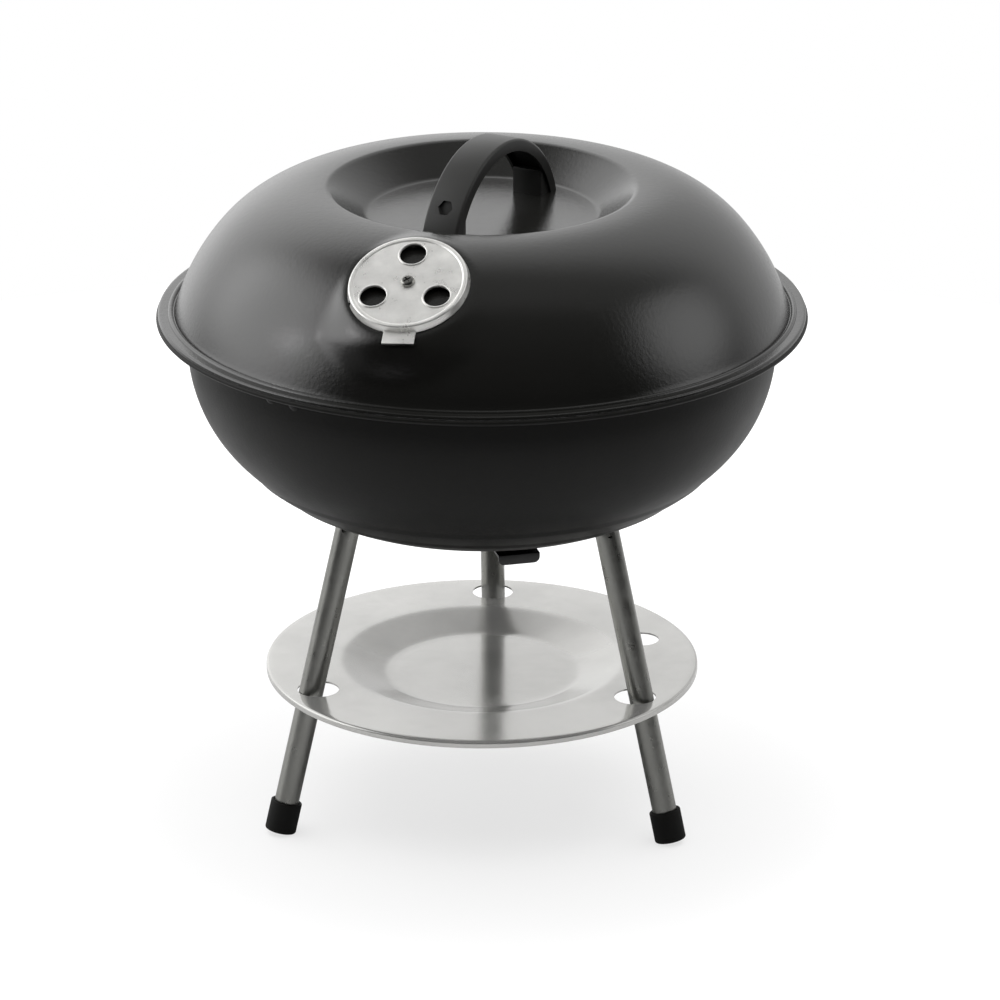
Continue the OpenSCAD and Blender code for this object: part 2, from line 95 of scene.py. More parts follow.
class GrillShell(bpy.types.PropertyGroup):
    """Sizes of the two pressed shells, the lid and the bowl"""
    sheet: length("Sheet", 1.2 * MM, "Thickness of the pressed sheet")
    rim_r: length("Rim Radius", BOWL_HIGH.x, "Outer radius of the bowl's rolled rim")
    rim_z: length("Rim Height", BOWL_HIGH.z - 3 * MM, "Height of the rim's lower edge")
    rim_h: length("Rim Face", 3 * MM, "Height of the rim's flat face over its lower edge")
    rim_w: length("Rim Width", 17.5 * MM, "Width of the rim outside the wall")
    bowl_flat_r: length("Bowl Flat", 54 * MM, "Radius of the bowl's flat bottom")
    bowl_side_arc: length("Bowl Side Arc", 87 * MM, "Radius of the arc below the wall")
    bowl_break: angle("Bowl Break", 43, "Where the side arc hands over to the bottom arc")
    bowl_wall_h: length("Bowl Wall", 14 * MM, "Straight wall's depth below the rim's lower edge")
    bowl_step: length("Pressed Ring", 0.7 * MM, "Outward step of each pressed ring")
    ring_1: angle("First Ring", 50, "Place of the upper pressed ring along the bottom arc")
    ring_2: angle("Second Ring", 59, "Place of the lower pressed ring along the bottom arc")
    flange_w: length("Lid Flange", 9.4 * MM, "Width of the lid's flange")
    flange_h: length("Lid Flange Height", 2.2 * MM, "Height of the lid's flange above the rim face")
    skirt_h: length("Dome Foot", 6.6 * MM, "Straight foot of the dome above its flange")
    foot_slope: angle("Dome Foot Slope", 70, "Slope of the dome where it leaves the flange")
    side_arc: length("Dome Side Arc", 121 * MM, "Radius of the dome's side")
    side_turn: angle("Dome Side Turn", 20, "Turn of the dome's side arc")
    crest_r: length("Crest Radius", 89 * MM, "Radius of the crest round the dish")
    dish_r: length("Dish Floor", 64 * MM, "Radius of the dish's flat floor")
    dish_depth: length("Dish Depth", 16 * MM, "Depth of the dish below the crest")
    fold: length("Fold", 6 * MM, "Radius of the two folds of the dish")
    bead_r: length("Bead", 1.7 * MM, "Radius of the pressed bead round the flange")


class GrillVent(bpy.types.PropertyGroup):
    """Sizes of the vent seat and the two dampers"""
    turn: angle("Turn", -13.7, "Direction of the lid damper from the front")
    tilt: angle("Tilt", 30, "Tilt of the seat pressed into the dome")
    slide: length("Slide", 7.4 * MM, "Seat's middle below the dome's tangent point")
    sink: length("Sink", 2.5 * MM, "Depth of the seat below the tangent plane")
    radius: length("Cap Radius", 34 * MM, "Radius of the lid damper")
    height: length("Cap Height", 4.5 * MM, "Height of the lid damper's skirt")
    seat_r: length("Seat Radius", 35 * MM, "Radius of the flat seat")
    flare: bpy.props.FloatProperty(
        name="Flare", default=1.4, min=0.0,
        description="How far the seat's flank spreads for each unit of drop")
    blend: length("Blend", 4 * MM, "Least width of the seat's flank")
    hole_r: length("Hole Radius", 7.4 * MM, "Radius of each vent hole")
    pitch_r: length("Pitch Radius", 20.5 * MM, "Radius of the circle of holes")
    phase: angle("Phase", 7, "Turn of the holes in the damper")
    gap: length("Gap", 0.3 * MM, "Clearance under the damper")
    sheet: length("Cap Sheet", 1 * MM, "Thickness of the damper")
    lever_turn: angle("Lever Turn", 18, "Direction of the bowl damper's lever")
    lever_reach: length("Lever Reach", 84 * MM, "Reach of the bowl damper's lever")


class GrillHandle(bpy.types.PropertyGroup):
    """Sizes of the arch handle"""
    turn: angle("Turn", 26, "Direction of the arch from the front-to-back line")
    shift: length("Shift", 5 * MM, "Sideways place of the arch")
    rise: length("Rise", HANDLE_HIGH.z - HANDLE_LOW.z, "Height of the arch above the dish floor")
    width: length("Width", 22 * MM, "Width of the strap")
    skin: length("Skin", 4 * MM, "Thickness of the strap's skin")
    lip: length("Lip", 3 * MM, "Depth of the side lips below the skin")
    wall: length("Lip Wall", 1.8 * MM, "Thickness of a side lip")
    foot_in: length("Foot Inset", 5 * MM, "Distance of the feet from the edge of the dish floor")
    edge: length("Edge", 1.6 * MM, "Radius of the rounded edges")


class GrillStand(bpy.types.PropertyGroup):
    """Sizes of the legs, the feet and the ash plate"""
    leg_r: length("Leg Radius", 7 * MM, "Outer radius of a leg tube")
    leg_wall: length("Leg Wall", 1 * MM, "Wall of a leg tube")
    tilt: angle("Leg Tilt", 14, "Tilt of the legs")
    foot_r: length("Foot Radius", 9 * MM, "Outer radius of a rubber foot")
    foot_len: length("Foot Length", 18 * MM, "Length of a rubber foot")
    foot_cut: length("Foot Flat", 0.8 * MM, "Depth of the flat worn on each foot")
    cap_floor: length("Foot Floor", 3 * MM, "Thickness of a foot under the tube")
    plate_r: length("Plate Radius", PLATE_HIGH.x, "Radius of the ash plate")
    plate_z: length("Plate Height", PLATE_HIGH.z, "Height of the plate's flat ring")
    plate_lip: length("Plate Lip", 3.7 * MM, "Depth of the plate's turned lip")
    plate_round: length("Plate Round", 1.4 * MM, "Radius of the lip's fold")
    plate_sheet: length("Plate Sheet", 1 * MM, "Thickness of the plate")
    plate_step_r: length("Plate Step", 81 * MM, "Radius where the plate starts to dip")
    plate_floor_r: length("Plate Floor", 56 * MM, "Radius of the plate's floor")
    plate_sink: length("Plate Sink", 7.6 * MM, "Depth of the plate's floor")
    plate_hole_r: length("Leg Hole", 12 * MM, "Radius of the leg holes")
    hang_r: length("Hanging Hole", 10 * MM, "Radius of the hanging hole")
    hang_at: length("Hanging Hole Place", 98 * MM, "Distance of the hanging hole from the middle")
    hang_turn: angle("Hanging Hole Turn", 111, "Direction of the hanging hole from the front")


class GrillFinish(bpy.types.PropertyGroup):
    """Colours and gloss of the finishes"""
    lid_black: colour("Lid Black", (0.006, 0.006, 0.0055), "Gloss enamel of the lid")
    lid_gloss: share("Lid Roughness", 0.15, "Roughness of the lid's enamel")
    bowl_black: colour("Bowl Black", (0.0055, 0.0055, 0.005), "Satin enamel of the bowl")
    bowl_gloss: share("Bowl Roughness", 0.42, "Roughness of the bowl's enamel")
    zinc: colour("Zinc", (0.27, 0.27, 0.255), "Zinc plating of the legs")
    steel: colour("Steel", (0.80, 0.795, 0.77), "Bare pressed steel")
    plastic: colour("Plastic", (0.012, 0.012, 0.0115), "Moulded handle plastic")
    rubber: colour("Rubber", (0.004, 0.004, 0.0037), "Rubber of the feet")
    chrome: colour("Plated Wire", (0.62, 0.62, 0.61), "Plated wire of the grates")


GROUPS = {
    "grill_shell": GrillShell, "grill_vent": GrillVent, "grill_handle": GrillHandle,
    "grill_stand": GrillStand, "grill_finish": GrillFinish,
}


# ---- outlines and frames ----

def arc(centre, radius, start, end, count):
    """Points (r, z) along an arc, ends included."""
    steps = [start + (end - start) * i / count for i in range(count + 1)]
    return [(centre[0] + radius * math.cos(a), centre[1] + radius * math.sin(a)) for a in steps]


def in_mm(base, *points):
    """Points (r, z) given in millimetres, with their heights measured from a base in metres."""
    return [(r * MM, base + z * MM) for r, z in points]


def line(start, end, count):
    """Points from start to end, without the end."""
    return [(start[0] + (end[0] - start[0]) * i / count, start[1] + (end[1] - start[1]) * i / count)
            for i in range(count)]


def turned(turn, axis="Z"):
    """The frame turned about an axis, from the front where that is Z."""
    return Matrix.Rotation(turn, 4, axis)


def shift(x, y, z):
    """The frame moved along the axes."""
    return Matrix.Translation((x, y, z))


class BowlShape:
    """The bowl's construction, worked out once from its sizes."""

    def __init__(self, s):
        self.s = s
        self.wall_r = s.rim_r - s.rim_w
        self.wall_z = s.rim_z - s.bowl_wall_h
        self.seat_z = s.rim_z + s.rim_h
        self.side_c = (self.wall_r - s.bowl_side_arc, self.wall_z)
        handover = (self.side_c[0] + s.bowl_side_arc * math.cos(s.bowl_break),
                    self.side_c[1] - s.bowl_side_arc * math.sin(s.bowl_break))
        self.bottom_arc = (handover[0] - s.bowl_flat_r) / math.cos(s.bowl_break)
        self.bottom_c = (s.bowl_flat_r, handover[1] + self.bottom_arc * math.sin(s.bowl_break))
        self.base_arc = self.bottom_arc + 2 * s.bowl_step
        self.bottom_z = self.bottom_c[1] - self.base_arc

    def wall(self, inset, fine):
        """The wall from the rim down to the middle, moved inwards."""
        s = self.s
        soft = math.radians(0.6)
        points = line((self.wall_r - inset, self.seat_z - 2.5 * MM),
                      (self.wall_r - inset, self.wall_z), 6)
        points += arc(self.side_c, s.bowl_side_arc - inset, 0, -s.bowl_break, fine)
        points += arc(self.bottom_c, self.bottom_arc - inset,
                      -s.bowl_break - 0.01, -s.ring_1 + soft, 4)
        points += arc(self.bottom_c, self.bottom_arc + s.bowl_step - inset,
                      -s.ring_1 - soft, -s.ring_2 + soft, 8)
        points += arc(self.bottom_c, self.base_arc - inset, -s.ring_2 - soft, -QUARTER, fine)
        floor = points[-1]
        return points + line((floor[0] - 4 * MM, floor[1]), (0, floor[1]), 8) + [(0, floor[1])]

    def leg_frame(self, tilt):
        """The frame of a leg at the front: -Z runs down it from the middle of the bottom arc."""
        return shift(0, -self.bottom_c[0], self.bottom_c[1]) @ turned(-tilt, "X")


class LidShape:
    """The lid's construction, worked out once from its sizes."""

    def __init__(self, s):
        self.s = s
        self.seat_z = s.rim_z + s.rim_h
        self.flange_z = self.seat_z + s.flange_h
        self.edge_r = s.rim_r - 1 * MM
        self.dome_r = self.edge_r - s.flange_w
        self.foot_a = QUARTER - s.foot_slope
        self.crown_a = self.foot_a + s.side_turn
        foot = (self.dome_r - s.skirt_h / math.tan(s.foot_slope), self.flange_z + s.skirt_h)
        self.side_c = (foot[0] - s.side_arc * math.cos(self.foot_a),
                       foot[1] - s.side_arc * math.sin(self.foot_a))
        handover = (self.side_c[0] + s.side_arc * math.cos(self.crown_a),
                    self.side_c[1] + s.side_arc * math.sin(self.crown_a))
        self.crown_arc = (handover[0] - s.crest_r) / math.cos(self.crown_a)
        self.crown_c = (s.crest_r, handover[1] - self.crown_arc * math.sin(self.crown_a))
        self.crest_z = self.crown_c[1] + self.crown_arc
        self.dish_z = self.crest_z - s.dish_depth
        run, rise = s.crest_r - s.dish_r, s.dish_depth - 2 * s.fold
        self.dish_slope = math.atan2(rise, run) + math.asin(2 * s.fold / math.hypot(run, rise))

    def dome(self, inset, fine):
        """The dome and its dish from the middle out to the flange, moved inwards."""
        s = self.s
        floor_z = self.dish_z - inset
        points = line((0, floor_z), (s.dish_r, floor_z), 16)
        points += arc((s.dish_r, self.dish_z + s.fold), s.fold + inset, -QUARTER,
                      self.dish_slope - QUARTER, 10)
        crest = arc((s.crest_r, self.crest_z - s.fold), s.fold - inset,
                    QUARTER + self.dish_slope, QUARTER, 10)
        points += line(points[-1], crest[0], 8)[1:] + crest[:-1]
        points += arc(self.crown_c, self.crown_arc - inset, QUARTER, self.crown_a, fine)[:-1]
        points += arc(self.side_c, s.side_arc - inset, self.crown_a, self.foot_a, fine // 2)
        foot_r = self.dome_r - inset / math.sin(s.foot_slope)
        low = self.flange_z + (0.4 * MM if inset == 0 else -0.8 * MM)
        slip = (low - self.flange_z) / math.tan(s.foot_slope)
        return points + line(points[-1], (foot_r - slip, low), 5)[1:]

    def seat_frame(self, v):
        """The vent seat's own frame: +Z out of the seat, +Y up the slope."""
        r = self.crown_c[0] + self.crown_arc * math.sin(v.tilt)
        z = self.crown_c[1] + self.crown_arc * math.cos(v.tilt)
        r += v.slide * math.cos(v.tilt) - v.sink * math.sin(v.tilt)
        z -= v.slide * math.sin(v.tilt) + v.sink * math.cos(v.tilt)
        return turned(v.turn) @ shift(0, -r, z) @ turned(v.tilt, "X")

    def dish_frame(self, h):
        """The handle's own frame: +X along the arch, +Z up from the dish floor."""
        return turned(QUARTER - h.turn) @ shift(0, -h.shift, self.dish_z)


# ---- Geometry Nodes ----

def new_tree(name, sockets):
    """A geometry node tree with its inputs and output declared."""
    tree = bpy.data.node_groups.new(name, "GeometryNodeTree")
    tree.interface.new_socket("Geometry", in_out="INPUT", socket_type="NodeSocketGeometry")
    for label, kind, default in sockets:
        made = tree.interface.new_socket(label, in_out="INPUT", socket_type="NodeSocket" + kind)
        if default is not None:
            made.default_value = default
    tree.interface.new_socket("Material", in_out="INPUT", socket_type="NodeSocketMaterial")
    tree.interface.new_socket("Geometry", in_out="OUTPUT", socket_type="NodeSocketGeometry")
    return tree


class Wiring:
    """Adds nodes to a tree and links them, so that a tree reads from its start to its end."""

    def __init__(self, tree, grouped=True):
        self.tree = tree
        if grouped:
            self.given = tree.nodes.new("NodeGroupInput").outputs

    def node(self, kind, inputs=None, **settings):
        """A node with settings, its inputs given as values, as sockets or as other nodes."""
        made = self.tree.nodes.new(kind)
        for key, value in settings.items():
            setattr(made, key, value)
        for key, value in (inputs or {}).items():
            socket = made.inputs[key]
            value = value.outputs[0] if isinstance(value, bpy.types.Node) else value
            if isinstance(value, bpy.types.NodeSocket):
                self.tree.links.new(value, socket)
            else:
                socket.default_value = value
        return made

    def math(self, operation, first, second=0.0):
        """The result socket of one Math node."""
        return self.node("ShaderNodeMath", {0: first, 1: second}, operation=operation).outputs[0]

    def finish(self, geometry):
        """Ends the tree: copies become real, the finish is set and the result goes out."""
        real = self.node("GeometryNodeRealizeInstances", {"Geometry": geometry})
        painted = self.node("GeometryNodeSetMaterial",
                            {"Geometry": real, "Material": self.given["Material"]})
        out = self.tree.nodes.new("NodeGroupOutput")
        self.tree.links.new(painted.outputs[0], out.inputs[0])


def spun_tree():
    """Spins an outline drawn as (r, 0, z) round the Z axis."""
    tree = new_tree("spun_sheet", (
        ("Segments", "Int", 192), ("Crowding", "Float", 0.0), ("Crowded Direction", "Float", 0.0),
        ("Path Radius", "Float", 0.1)))
    w = Wiring(tree)
    path_r = w.given["Path Radius"]
    here = w.node("ShaderNodeSeparateXYZ", {0: w.node("GeometryNodeInputPosition")})
    section = w.node("ShaderNodeCombineXYZ", {
        0: w.math("SUBTRACT", here.outputs[0], path_r),
        1: w.math("MULTIPLY", here.outputs[2], -1.0)})
    outline = w.node("GeometryNodeSetPosition", {
        "Geometry": w.given["Geometry"], "Position": section})
    profile = w.node("GeometryNodeMeshToCurve", {0: outline})
    circle = w.node("GeometryNodeCurvePrimitiveCircle", {
        "Resolution": w.given["Segments"], "Radius": path_r})
    spot = w.node("ShaderNodeSeparateXYZ", {0: w.node("GeometryNodeInputPosition")})
    plain = w.math("ARCTAN2", spot.outputs[1], spot.outputs[0])
    away = w.math("SUBTRACT", plain, w.given["Crowded Direction"])
    pull = w.math("MULTIPLY", w.math("SINE", away), w.given["Crowding"])
    moved = w.math("SUBTRACT", plain, pull)
    where = w.node("ShaderNodeCombineXYZ", {
        0: w.math("MULTIPLY", w.math("COSINE", moved), path_r),
        1: w.math("MULTIPLY", w.math("SINE", moved), path_r)})
    path = w.node("GeometryNodeSetPosition", {
        "Geometry": circle, "Position": where})
    swept = w.node("GeometryNodeCurveToMesh", {
        "Curve": path, "Profile Curve": profile})
    welded = w.node("GeometryNodeMergeByDistance", {"Geometry": swept, "Distance": 1e-6})
    w.finish(welded)
    return tree


def copies_tree():
    """Repeats a piece round the Z axis, each copy turned on from the last."""
    tree = new_tree("turned_copies", (
        ("Count", "Int", 3), ("Start", "Float", 0.0), ("Step", "Float", 2.0944)))
    w = Wiring(tree)
    points = w.node("GeometryNodeMeshLine", {"Count": w.given["Count"], "Offset": (0, 0, 0)})
    index = w.node("GeometryNodeInputIndex").outputs[0]
    turn = w.math("MULTIPLY", index, w.given["Step"])
    turn = w.math("ADD", turn, w.given["Start"])
    rotation = w.node("ShaderNodeCombineXYZ", {2: turn})
    placed = w.node("GeometryNodeInstanceOnPoints", {
        "Points": points, "Instance": w.given["Geometry"],
        "Rotation": rotation})
    w.finish(placed)
    return tree


def grate_tree():
    """A welded wire grate: a ring, parallel rods cut to it and two bars under them."""
    tree = new_tree("wire_grate", (
        ("Ring Radius", "Float", 0.16), ("Ring Wire", "Float", 0.0022),
        ("Rod Wire", "Float", 0.0016), ("Pitch", "Float", 0.018),
        ("Rods Each Side", "Int", 8), ("Bar Place", "Float", 0.06)))
    w = Wiring(tree)
    ring_r = w.given["Ring Radius"]
    rod_wire = w.given["Rod Wire"]
    pitch = w.given["Pitch"]
    each_side = w.given["Rods Each Side"]
    circle = w.node("GeometryNodeCurvePrimitiveCircle", {"Resolution": 160, "Radius": ring_r})
    wire = w.node("GeometryNodeCurvePrimitiveCircle", {
        "Resolution": 14, "Radius": w.given["Ring Wire"]})
    ring = w.node("GeometryNodeCurveToMesh", {"Curve": circle, "Profile Curve": wire})

    def wires(count, place, turn, drop):
        """Rods whose length follows their place across the ring."""
        points = w.node("GeometryNodeMeshLine", {"Count": count, "Offset": (0, 0, 0)})
        spot = w.node("ShaderNodeCombineXYZ", {0: place, 2: drop})
        set_out = w.node("GeometryNodeSetPosition", {
            "Geometry": points, "Position": spot.outputs[0]})
        square = w.math("SUBTRACT", w.math("MULTIPLY", ring_r, ring_r),
                        w.math("MULTIPLY", place, place))
        half = w.math("SQRT", square)
        rod = w.node("GeometryNodeMeshCylinder", {"Vertices": 14, "Radius": 1.0, "Depth": 2.0})
        size = w.node("ShaderNodeCombineXYZ", {0: rod_wire, 1: rod_wire, 2: half})
        laid = w.node("GeometryNodeInstanceOnPoints", {
            "Points": set_out, "Instance": rod,
            "Rotation": (QUARTER, 0, 0), "Scale": size})
        return w.node("GeometryNodeTransform", {"Geometry": laid, "Rotation": (0, 0, turn)})

    index = w.node("GeometryNodeInputIndex").outputs[0]
    across = w.math("MULTIPLY", w.math("SUBTRACT", index, each_side), pitch)
    count = w.math("ADD", w.math("MULTIPLY", each_side, 2.0), 1.0)
    rods = wires(count, across, 0.0, 0.0)
    side = w.math("SUBTRACT", w.math("MULTIPLY", index, 2.0), 1.0)
    bars = wires(2, w.math("MULTIPLY", side, w.given["Bar Place"]), QUARTER,
                 w.math("MULTIPLY", rod_wire, -1.0))
    joined = w.node("GeometryNodeJoinGeometry")
    for piece in (ring, rods, bars):
        tree.links.new(piece.outputs[0], joined.inputs[0])
    w.finish(joined)
    return tree


@functools.cache
def tree_named(name):
    """The shared tree with this name, built when it is first asked for."""
    makers = {"spun_sheet": spun_tree, "turned_copies": copies_tree, "wire_grate": grate_tree}
    return makers[name]()


def grown(obj, tree_name, material, **values):
    """Runs a tree on an object and leaves its result as the object's own plain mesh."""
    tree = tree_named(tree_name)
    sockets = {item.name: item.identifier for item in tree.interface.items_tree
               if item.in_out == "INPUT"}
    modifier = obj.modifiers.new(tree_name, "NODES")
    modifier.node_group = tree
    modifier[sockets["Material"]] = material
    for label, value in values.items():
        modifier[sockets[label.replace("_", " ")]] = value
    bake(obj)
    return obj


# ---- mesh helpers ----

def bake(obj):
    """Turns what the modifiers make into the object's own mesh and removes them."""
    bpy.context.view_layer.update()
    graph = bpy.context.evaluated_depsgraph_get()
    made = bpy.data.meshes.new_from_object(obj.evaluated_get(graph))
    obj.modifiers.clear()
    old = obj.data
    made.name = obj.name
    obj.data = made
    if old.users == 0:
        bpy.data.meshes.remove(old)


def new_object(name, mesh):
    """An object in the scene that holds the mesh."""
    obj = bpy.data.objects.new(name, mesh)
    bpy.context.scene.collection.objects.link(obj)
    return obj


def from_bmesh(name, bm):
    """An object made from a bmesh, with its faces turned outwards."""
    bmesh.ops.remove_doubles(bm, verts=bm.verts, dist=1e-6)
    bmesh.ops.recalc_face_normals(bm, faces=bm.faces)
    mesh = bpy.data.meshes.new(name)
    bm.to_mesh(mesh)
    bm.free()
    return new_object(name, mesh)


def tidy(obj):
    """Welds the mesh and turns its faces outwards."""
    bm = bmesh.new()
    bm.from_mesh(obj.data)
    bmesh.ops.remove_doubles(bm, verts=bm.verts, dist=2e-6)
    bmesh.ops.recalc_face_normals(bm, faces=bm.faces)
    bm.to_mesh(obj.data)
    bm.free()
    return obj


def smooth(obj, crease=35):
    """Smooth shading with the sharp edges kept."""
    obj.data.shade_smooth()
    obj.data.set_sharp_from_angle(angle=math.radians(crease))
    return obj


def spun(name, outline, material, segments=96, crowding=0.0, direction=0.0):
    """A sheet or solid of revolution from points (r, z)."""
    mesh = bpy.data.meshes.new(name)
    edges = [(i, i + 1) for i in range(len(outline) - 1)]
    mesh.from_pydata([(r, 0, z) for r, z in outline], edges, [])
    obj = new_object(name, mesh)
    grown(obj, "spun_sheet", material, Segments=segments, Crowding=crowding,
          Crowded_Direction=direction, Path_Radius=max(r for r, z in outline) * 0.6)
    return tidy(obj)


def spun_solid(name, outline, material, segments=48):
    """A closed solid of revolution: the outline starts and ends on the axis."""
    closed = [(0, outline[0][1])] + outline + [(0, outline[-1][1])]
    return spun(name, closed, material, segments)


def ring_solid(name, outline, material, segments=48):
    """A closed ring: the outline is closed on itself."""
    return spun(name, outline + [outline[0]], material, segments)


def prism(name, points, low, high, bevel=0.0):
    """A prism from an outline of (x, y) points, with bevelled edges where asked."""
    bm = bmesh.new()
    base = [bm.verts.new((x, y, low)) for x, y in points]
    bm.faces.new(base)
    top = bmesh.ops.extrude_face_region(bm, geom=list(bm.faces))
    moved = [v for v in top["geom"] if isinstance(v, bmesh.types.BMVert)]
    bmesh.ops.translate(bm, verts=moved, vec=(0, 0, high - low))
    if bevel:
        bmesh.ops.bevel(bm, geom=list(bm.edges), offset=bevel, segments=2, affect="EDGES",
                        profile=0.6)
    return from_bmesh(name, bm)


def slab(name, xs, ys, zs, bevel=0.0):
    """A block between two values on each axis, with bevelled edges where asked."""
    corners = [(xs[0], ys[0]), (xs[1], ys[0]), (xs[1], ys[1]), (xs[0], ys[1])]
    return prism(name, corners, *zs, bevel)


def joined(obj, *others):
    """Adds the other objects' meshes to the first one's."""
    bm = bmesh.new()
    bm.from_mesh(obj.data)
    for other in others:
        bm.from_mesh(other.data)
    bm.to_mesh(obj.data)
    bm.free()
    for other in others:
        drop(other)
    return obj


def drop(obj):
    """Removes a helper object and its mesh."""
    mesh = obj.data
    bpy.data.objects.remove(obj)
    bpy.data.meshes.remove(mesh)


def cut(obj, *tools, operation="DIFFERENCE"):
    """A boolean with each tool, which is then removed."""
    for tool in tools:
        modifier = obj.modifiers.new("cut", "BOOLEAN")
        modifier.operation = operation
        modifier.solver = "EXACT"
        modifier.object = tool
        bake(obj)
        drop(tool)
    return obj


def place(obj, matrix):
    """Moves the mesh, not the object."""
    obj.data.transform(matrix)
    obj.data.update()
    return obj


def drill(radius, low, high, matrix=Matrix.Identity(4), segments=48):
    """A cylinder used as a cutting tool, along the Z axis of the given frame."""
    bm = bmesh.new()
    bmesh.ops.create_cone(bm, cap_ends=True, segments=segments, radius1=radius, radius2=radius,
                          depth=high - low, matrix=shift(0, 0, (low + high) / 2))
    return place(from_bmesh("drill", bm), matrix)


def three_drills(radius, pitch, low, high, turn, frame_in=Matrix.Identity(4), segments=48):
    """Cutting tools for three holes on a circle, the first at the given turn."""
    spots = [frame_in @ turned(turn + THIRD * i) @ shift(pitch, 0, 0) for i in range(3)]
    return [drill(radius, low, high, spot, segments) for spot in spots]


def rounded(obj, corners, material):
    """Rounds a hexagonal head: only what is inside a turned outline stays."""
    return cut(obj, spun_solid("rounding", corners, material, 48), operation="INTERSECT")


def loft(name, sections):
    """A closed bar through a row of equal sections, each a list of points."""
    bm = bmesh.new()
    rings = [[bm.verts.new(point) for point in section] for section in sections]
    for first, second in zip(rings, rings[1:]):
        for k in range(len(first)):
            after = (k + 1) % len(first)
            bm.faces.new((first[k], first[after], second[after], second[k]))
    bm.faces.new(rings[0])
    bm.faces.new(rings[-1])
    return from_bmesh(name, bm)


def paint(obj, material):
    """Gives every face of the object one material."""
    obj.data.materials.clear()
    obj.data.materials.append(material)
    obj.data.polygons.foreach_set("material_index", [0] * len(obj.data.polygons))
    return obj


def settle(obj, body, slot, *nodes, look=None, crease=35):
    """Finishes a piece: its look (the slot's finish unless another look is given), shading, body and
    the CAD nodes it stands for.
    """
    paint(obj, finish(look or slot))
    smooth(obj, crease)
    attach(obj, body)
    if nodes:
        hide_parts(*nodes)
    return obj


# ---- materials ----

def shader_group(name, inputs, outputs):
    """A shader node group with its sockets declared."""
    group = bpy.data.node_groups.new(name, "ShaderNodeTree")
    for label, kind, default in inputs:
        made = group.interface.new_socket(label, in_out="INPUT", socket_type="NodeSocket" + kind)
        made.default_value = default
    for label, kind in outputs:
        group.interface.new_socket(label, in_out="OUTPUT", socket_type="NodeSocket" + kind)
    return group


def peel_group():
    """Orange peel and fine grit of an enamel or a moulded skin, as a height and a mask."""
    group = shader_group("peel_and_grit", (
        ("Scale", "Float", 350.0), ("Grit Scale", "Float", 1400.0), ("Grit", "Float", 0.3)),
        (("Height", "Float"), ("Mask", "Float")))
    w = Wiring(group)
    where = w.node("ShaderNodeTexCoord").outputs["Object"]
    peel = w.node("ShaderNodeTexNoise", {"Vector": where, "Scale": w.given["Scale"], "Detail": 2.0})
    grit = w.node("ShaderNodeTexNoise", {
        "Vector": where, "Scale": w.given["Grit Scale"], "Detail": 3.0, "Roughness": 0.6})
    part = w.math("MULTIPLY", grit.outputs[0], w.given["Grit"])
    height = w.math("ADD", peel.outputs[0], part)
    patch = w.node("ShaderNodeTexNoise", {
        "Vector": where, "Scale": 9.0, "Detail": 4.0, "Roughness": 0.62})
    out = group.nodes.new("NodeGroupOutput")
    group.links.new(height, out.inputs["Height"])
    group.links.new(patch.outputs[0], out.inputs["Mask"])
    return group


def mottle_group():
    """Cloudy patches and small specks of plated or polished metal, as two masks."""
    group = shader_group("metal_mottle", (
        ("Patch Scale", "Float", 60.0), ("Speck Scale", "Float", 700.0), ("Stretch", "Float", 1.0)),
        (("Patches", "Float"), ("Specks", "Float"), ("Height", "Float")))
    w = Wiring(group)
    where = w.node("ShaderNodeTexCoord").outputs["Object"]
    spread = w.node("ShaderNodeCombineXYZ", {0: 1.0, 1: 1.0, 2: w.given["Stretch"]})
    drawn = w.node("ShaderNodeVectorMath", {0: where, 1: spread}, operation="MULTIPLY").outputs[0]
    patch = w.node("ShaderNodeTexNoise", {
        "Vector": drawn, "Scale": w.given["Patch Scale"], "Detail": 5.0, "Roughness": 0.65})
    speck = w.node("ShaderNodeTexVoronoi", {"Vector": drawn, "Scale": w.given["Speck Scale"]})
    fine = w.node("ShaderNodeTexNoise", {
        "Vector": drawn, "Scale": w.given["Speck Scale"], "Detail": 2.0})
    out = group.nodes.new("NodeGroupOutput")
    group.links.new(patch.outputs[0], out.inputs["Patches"])
    group.links.new(speck.outputs[0], out.inputs["Specks"])
    group.links.new(fine.outputs[0], out.inputs["Height"])
    return group


@functools.cache
def group_named(name):
    """The shared shader group with this name, built when it is first asked for."""
    makers = {"peel_and_grit": peel_group, "metal_mottle": mottle_group}
    return makers[name]()


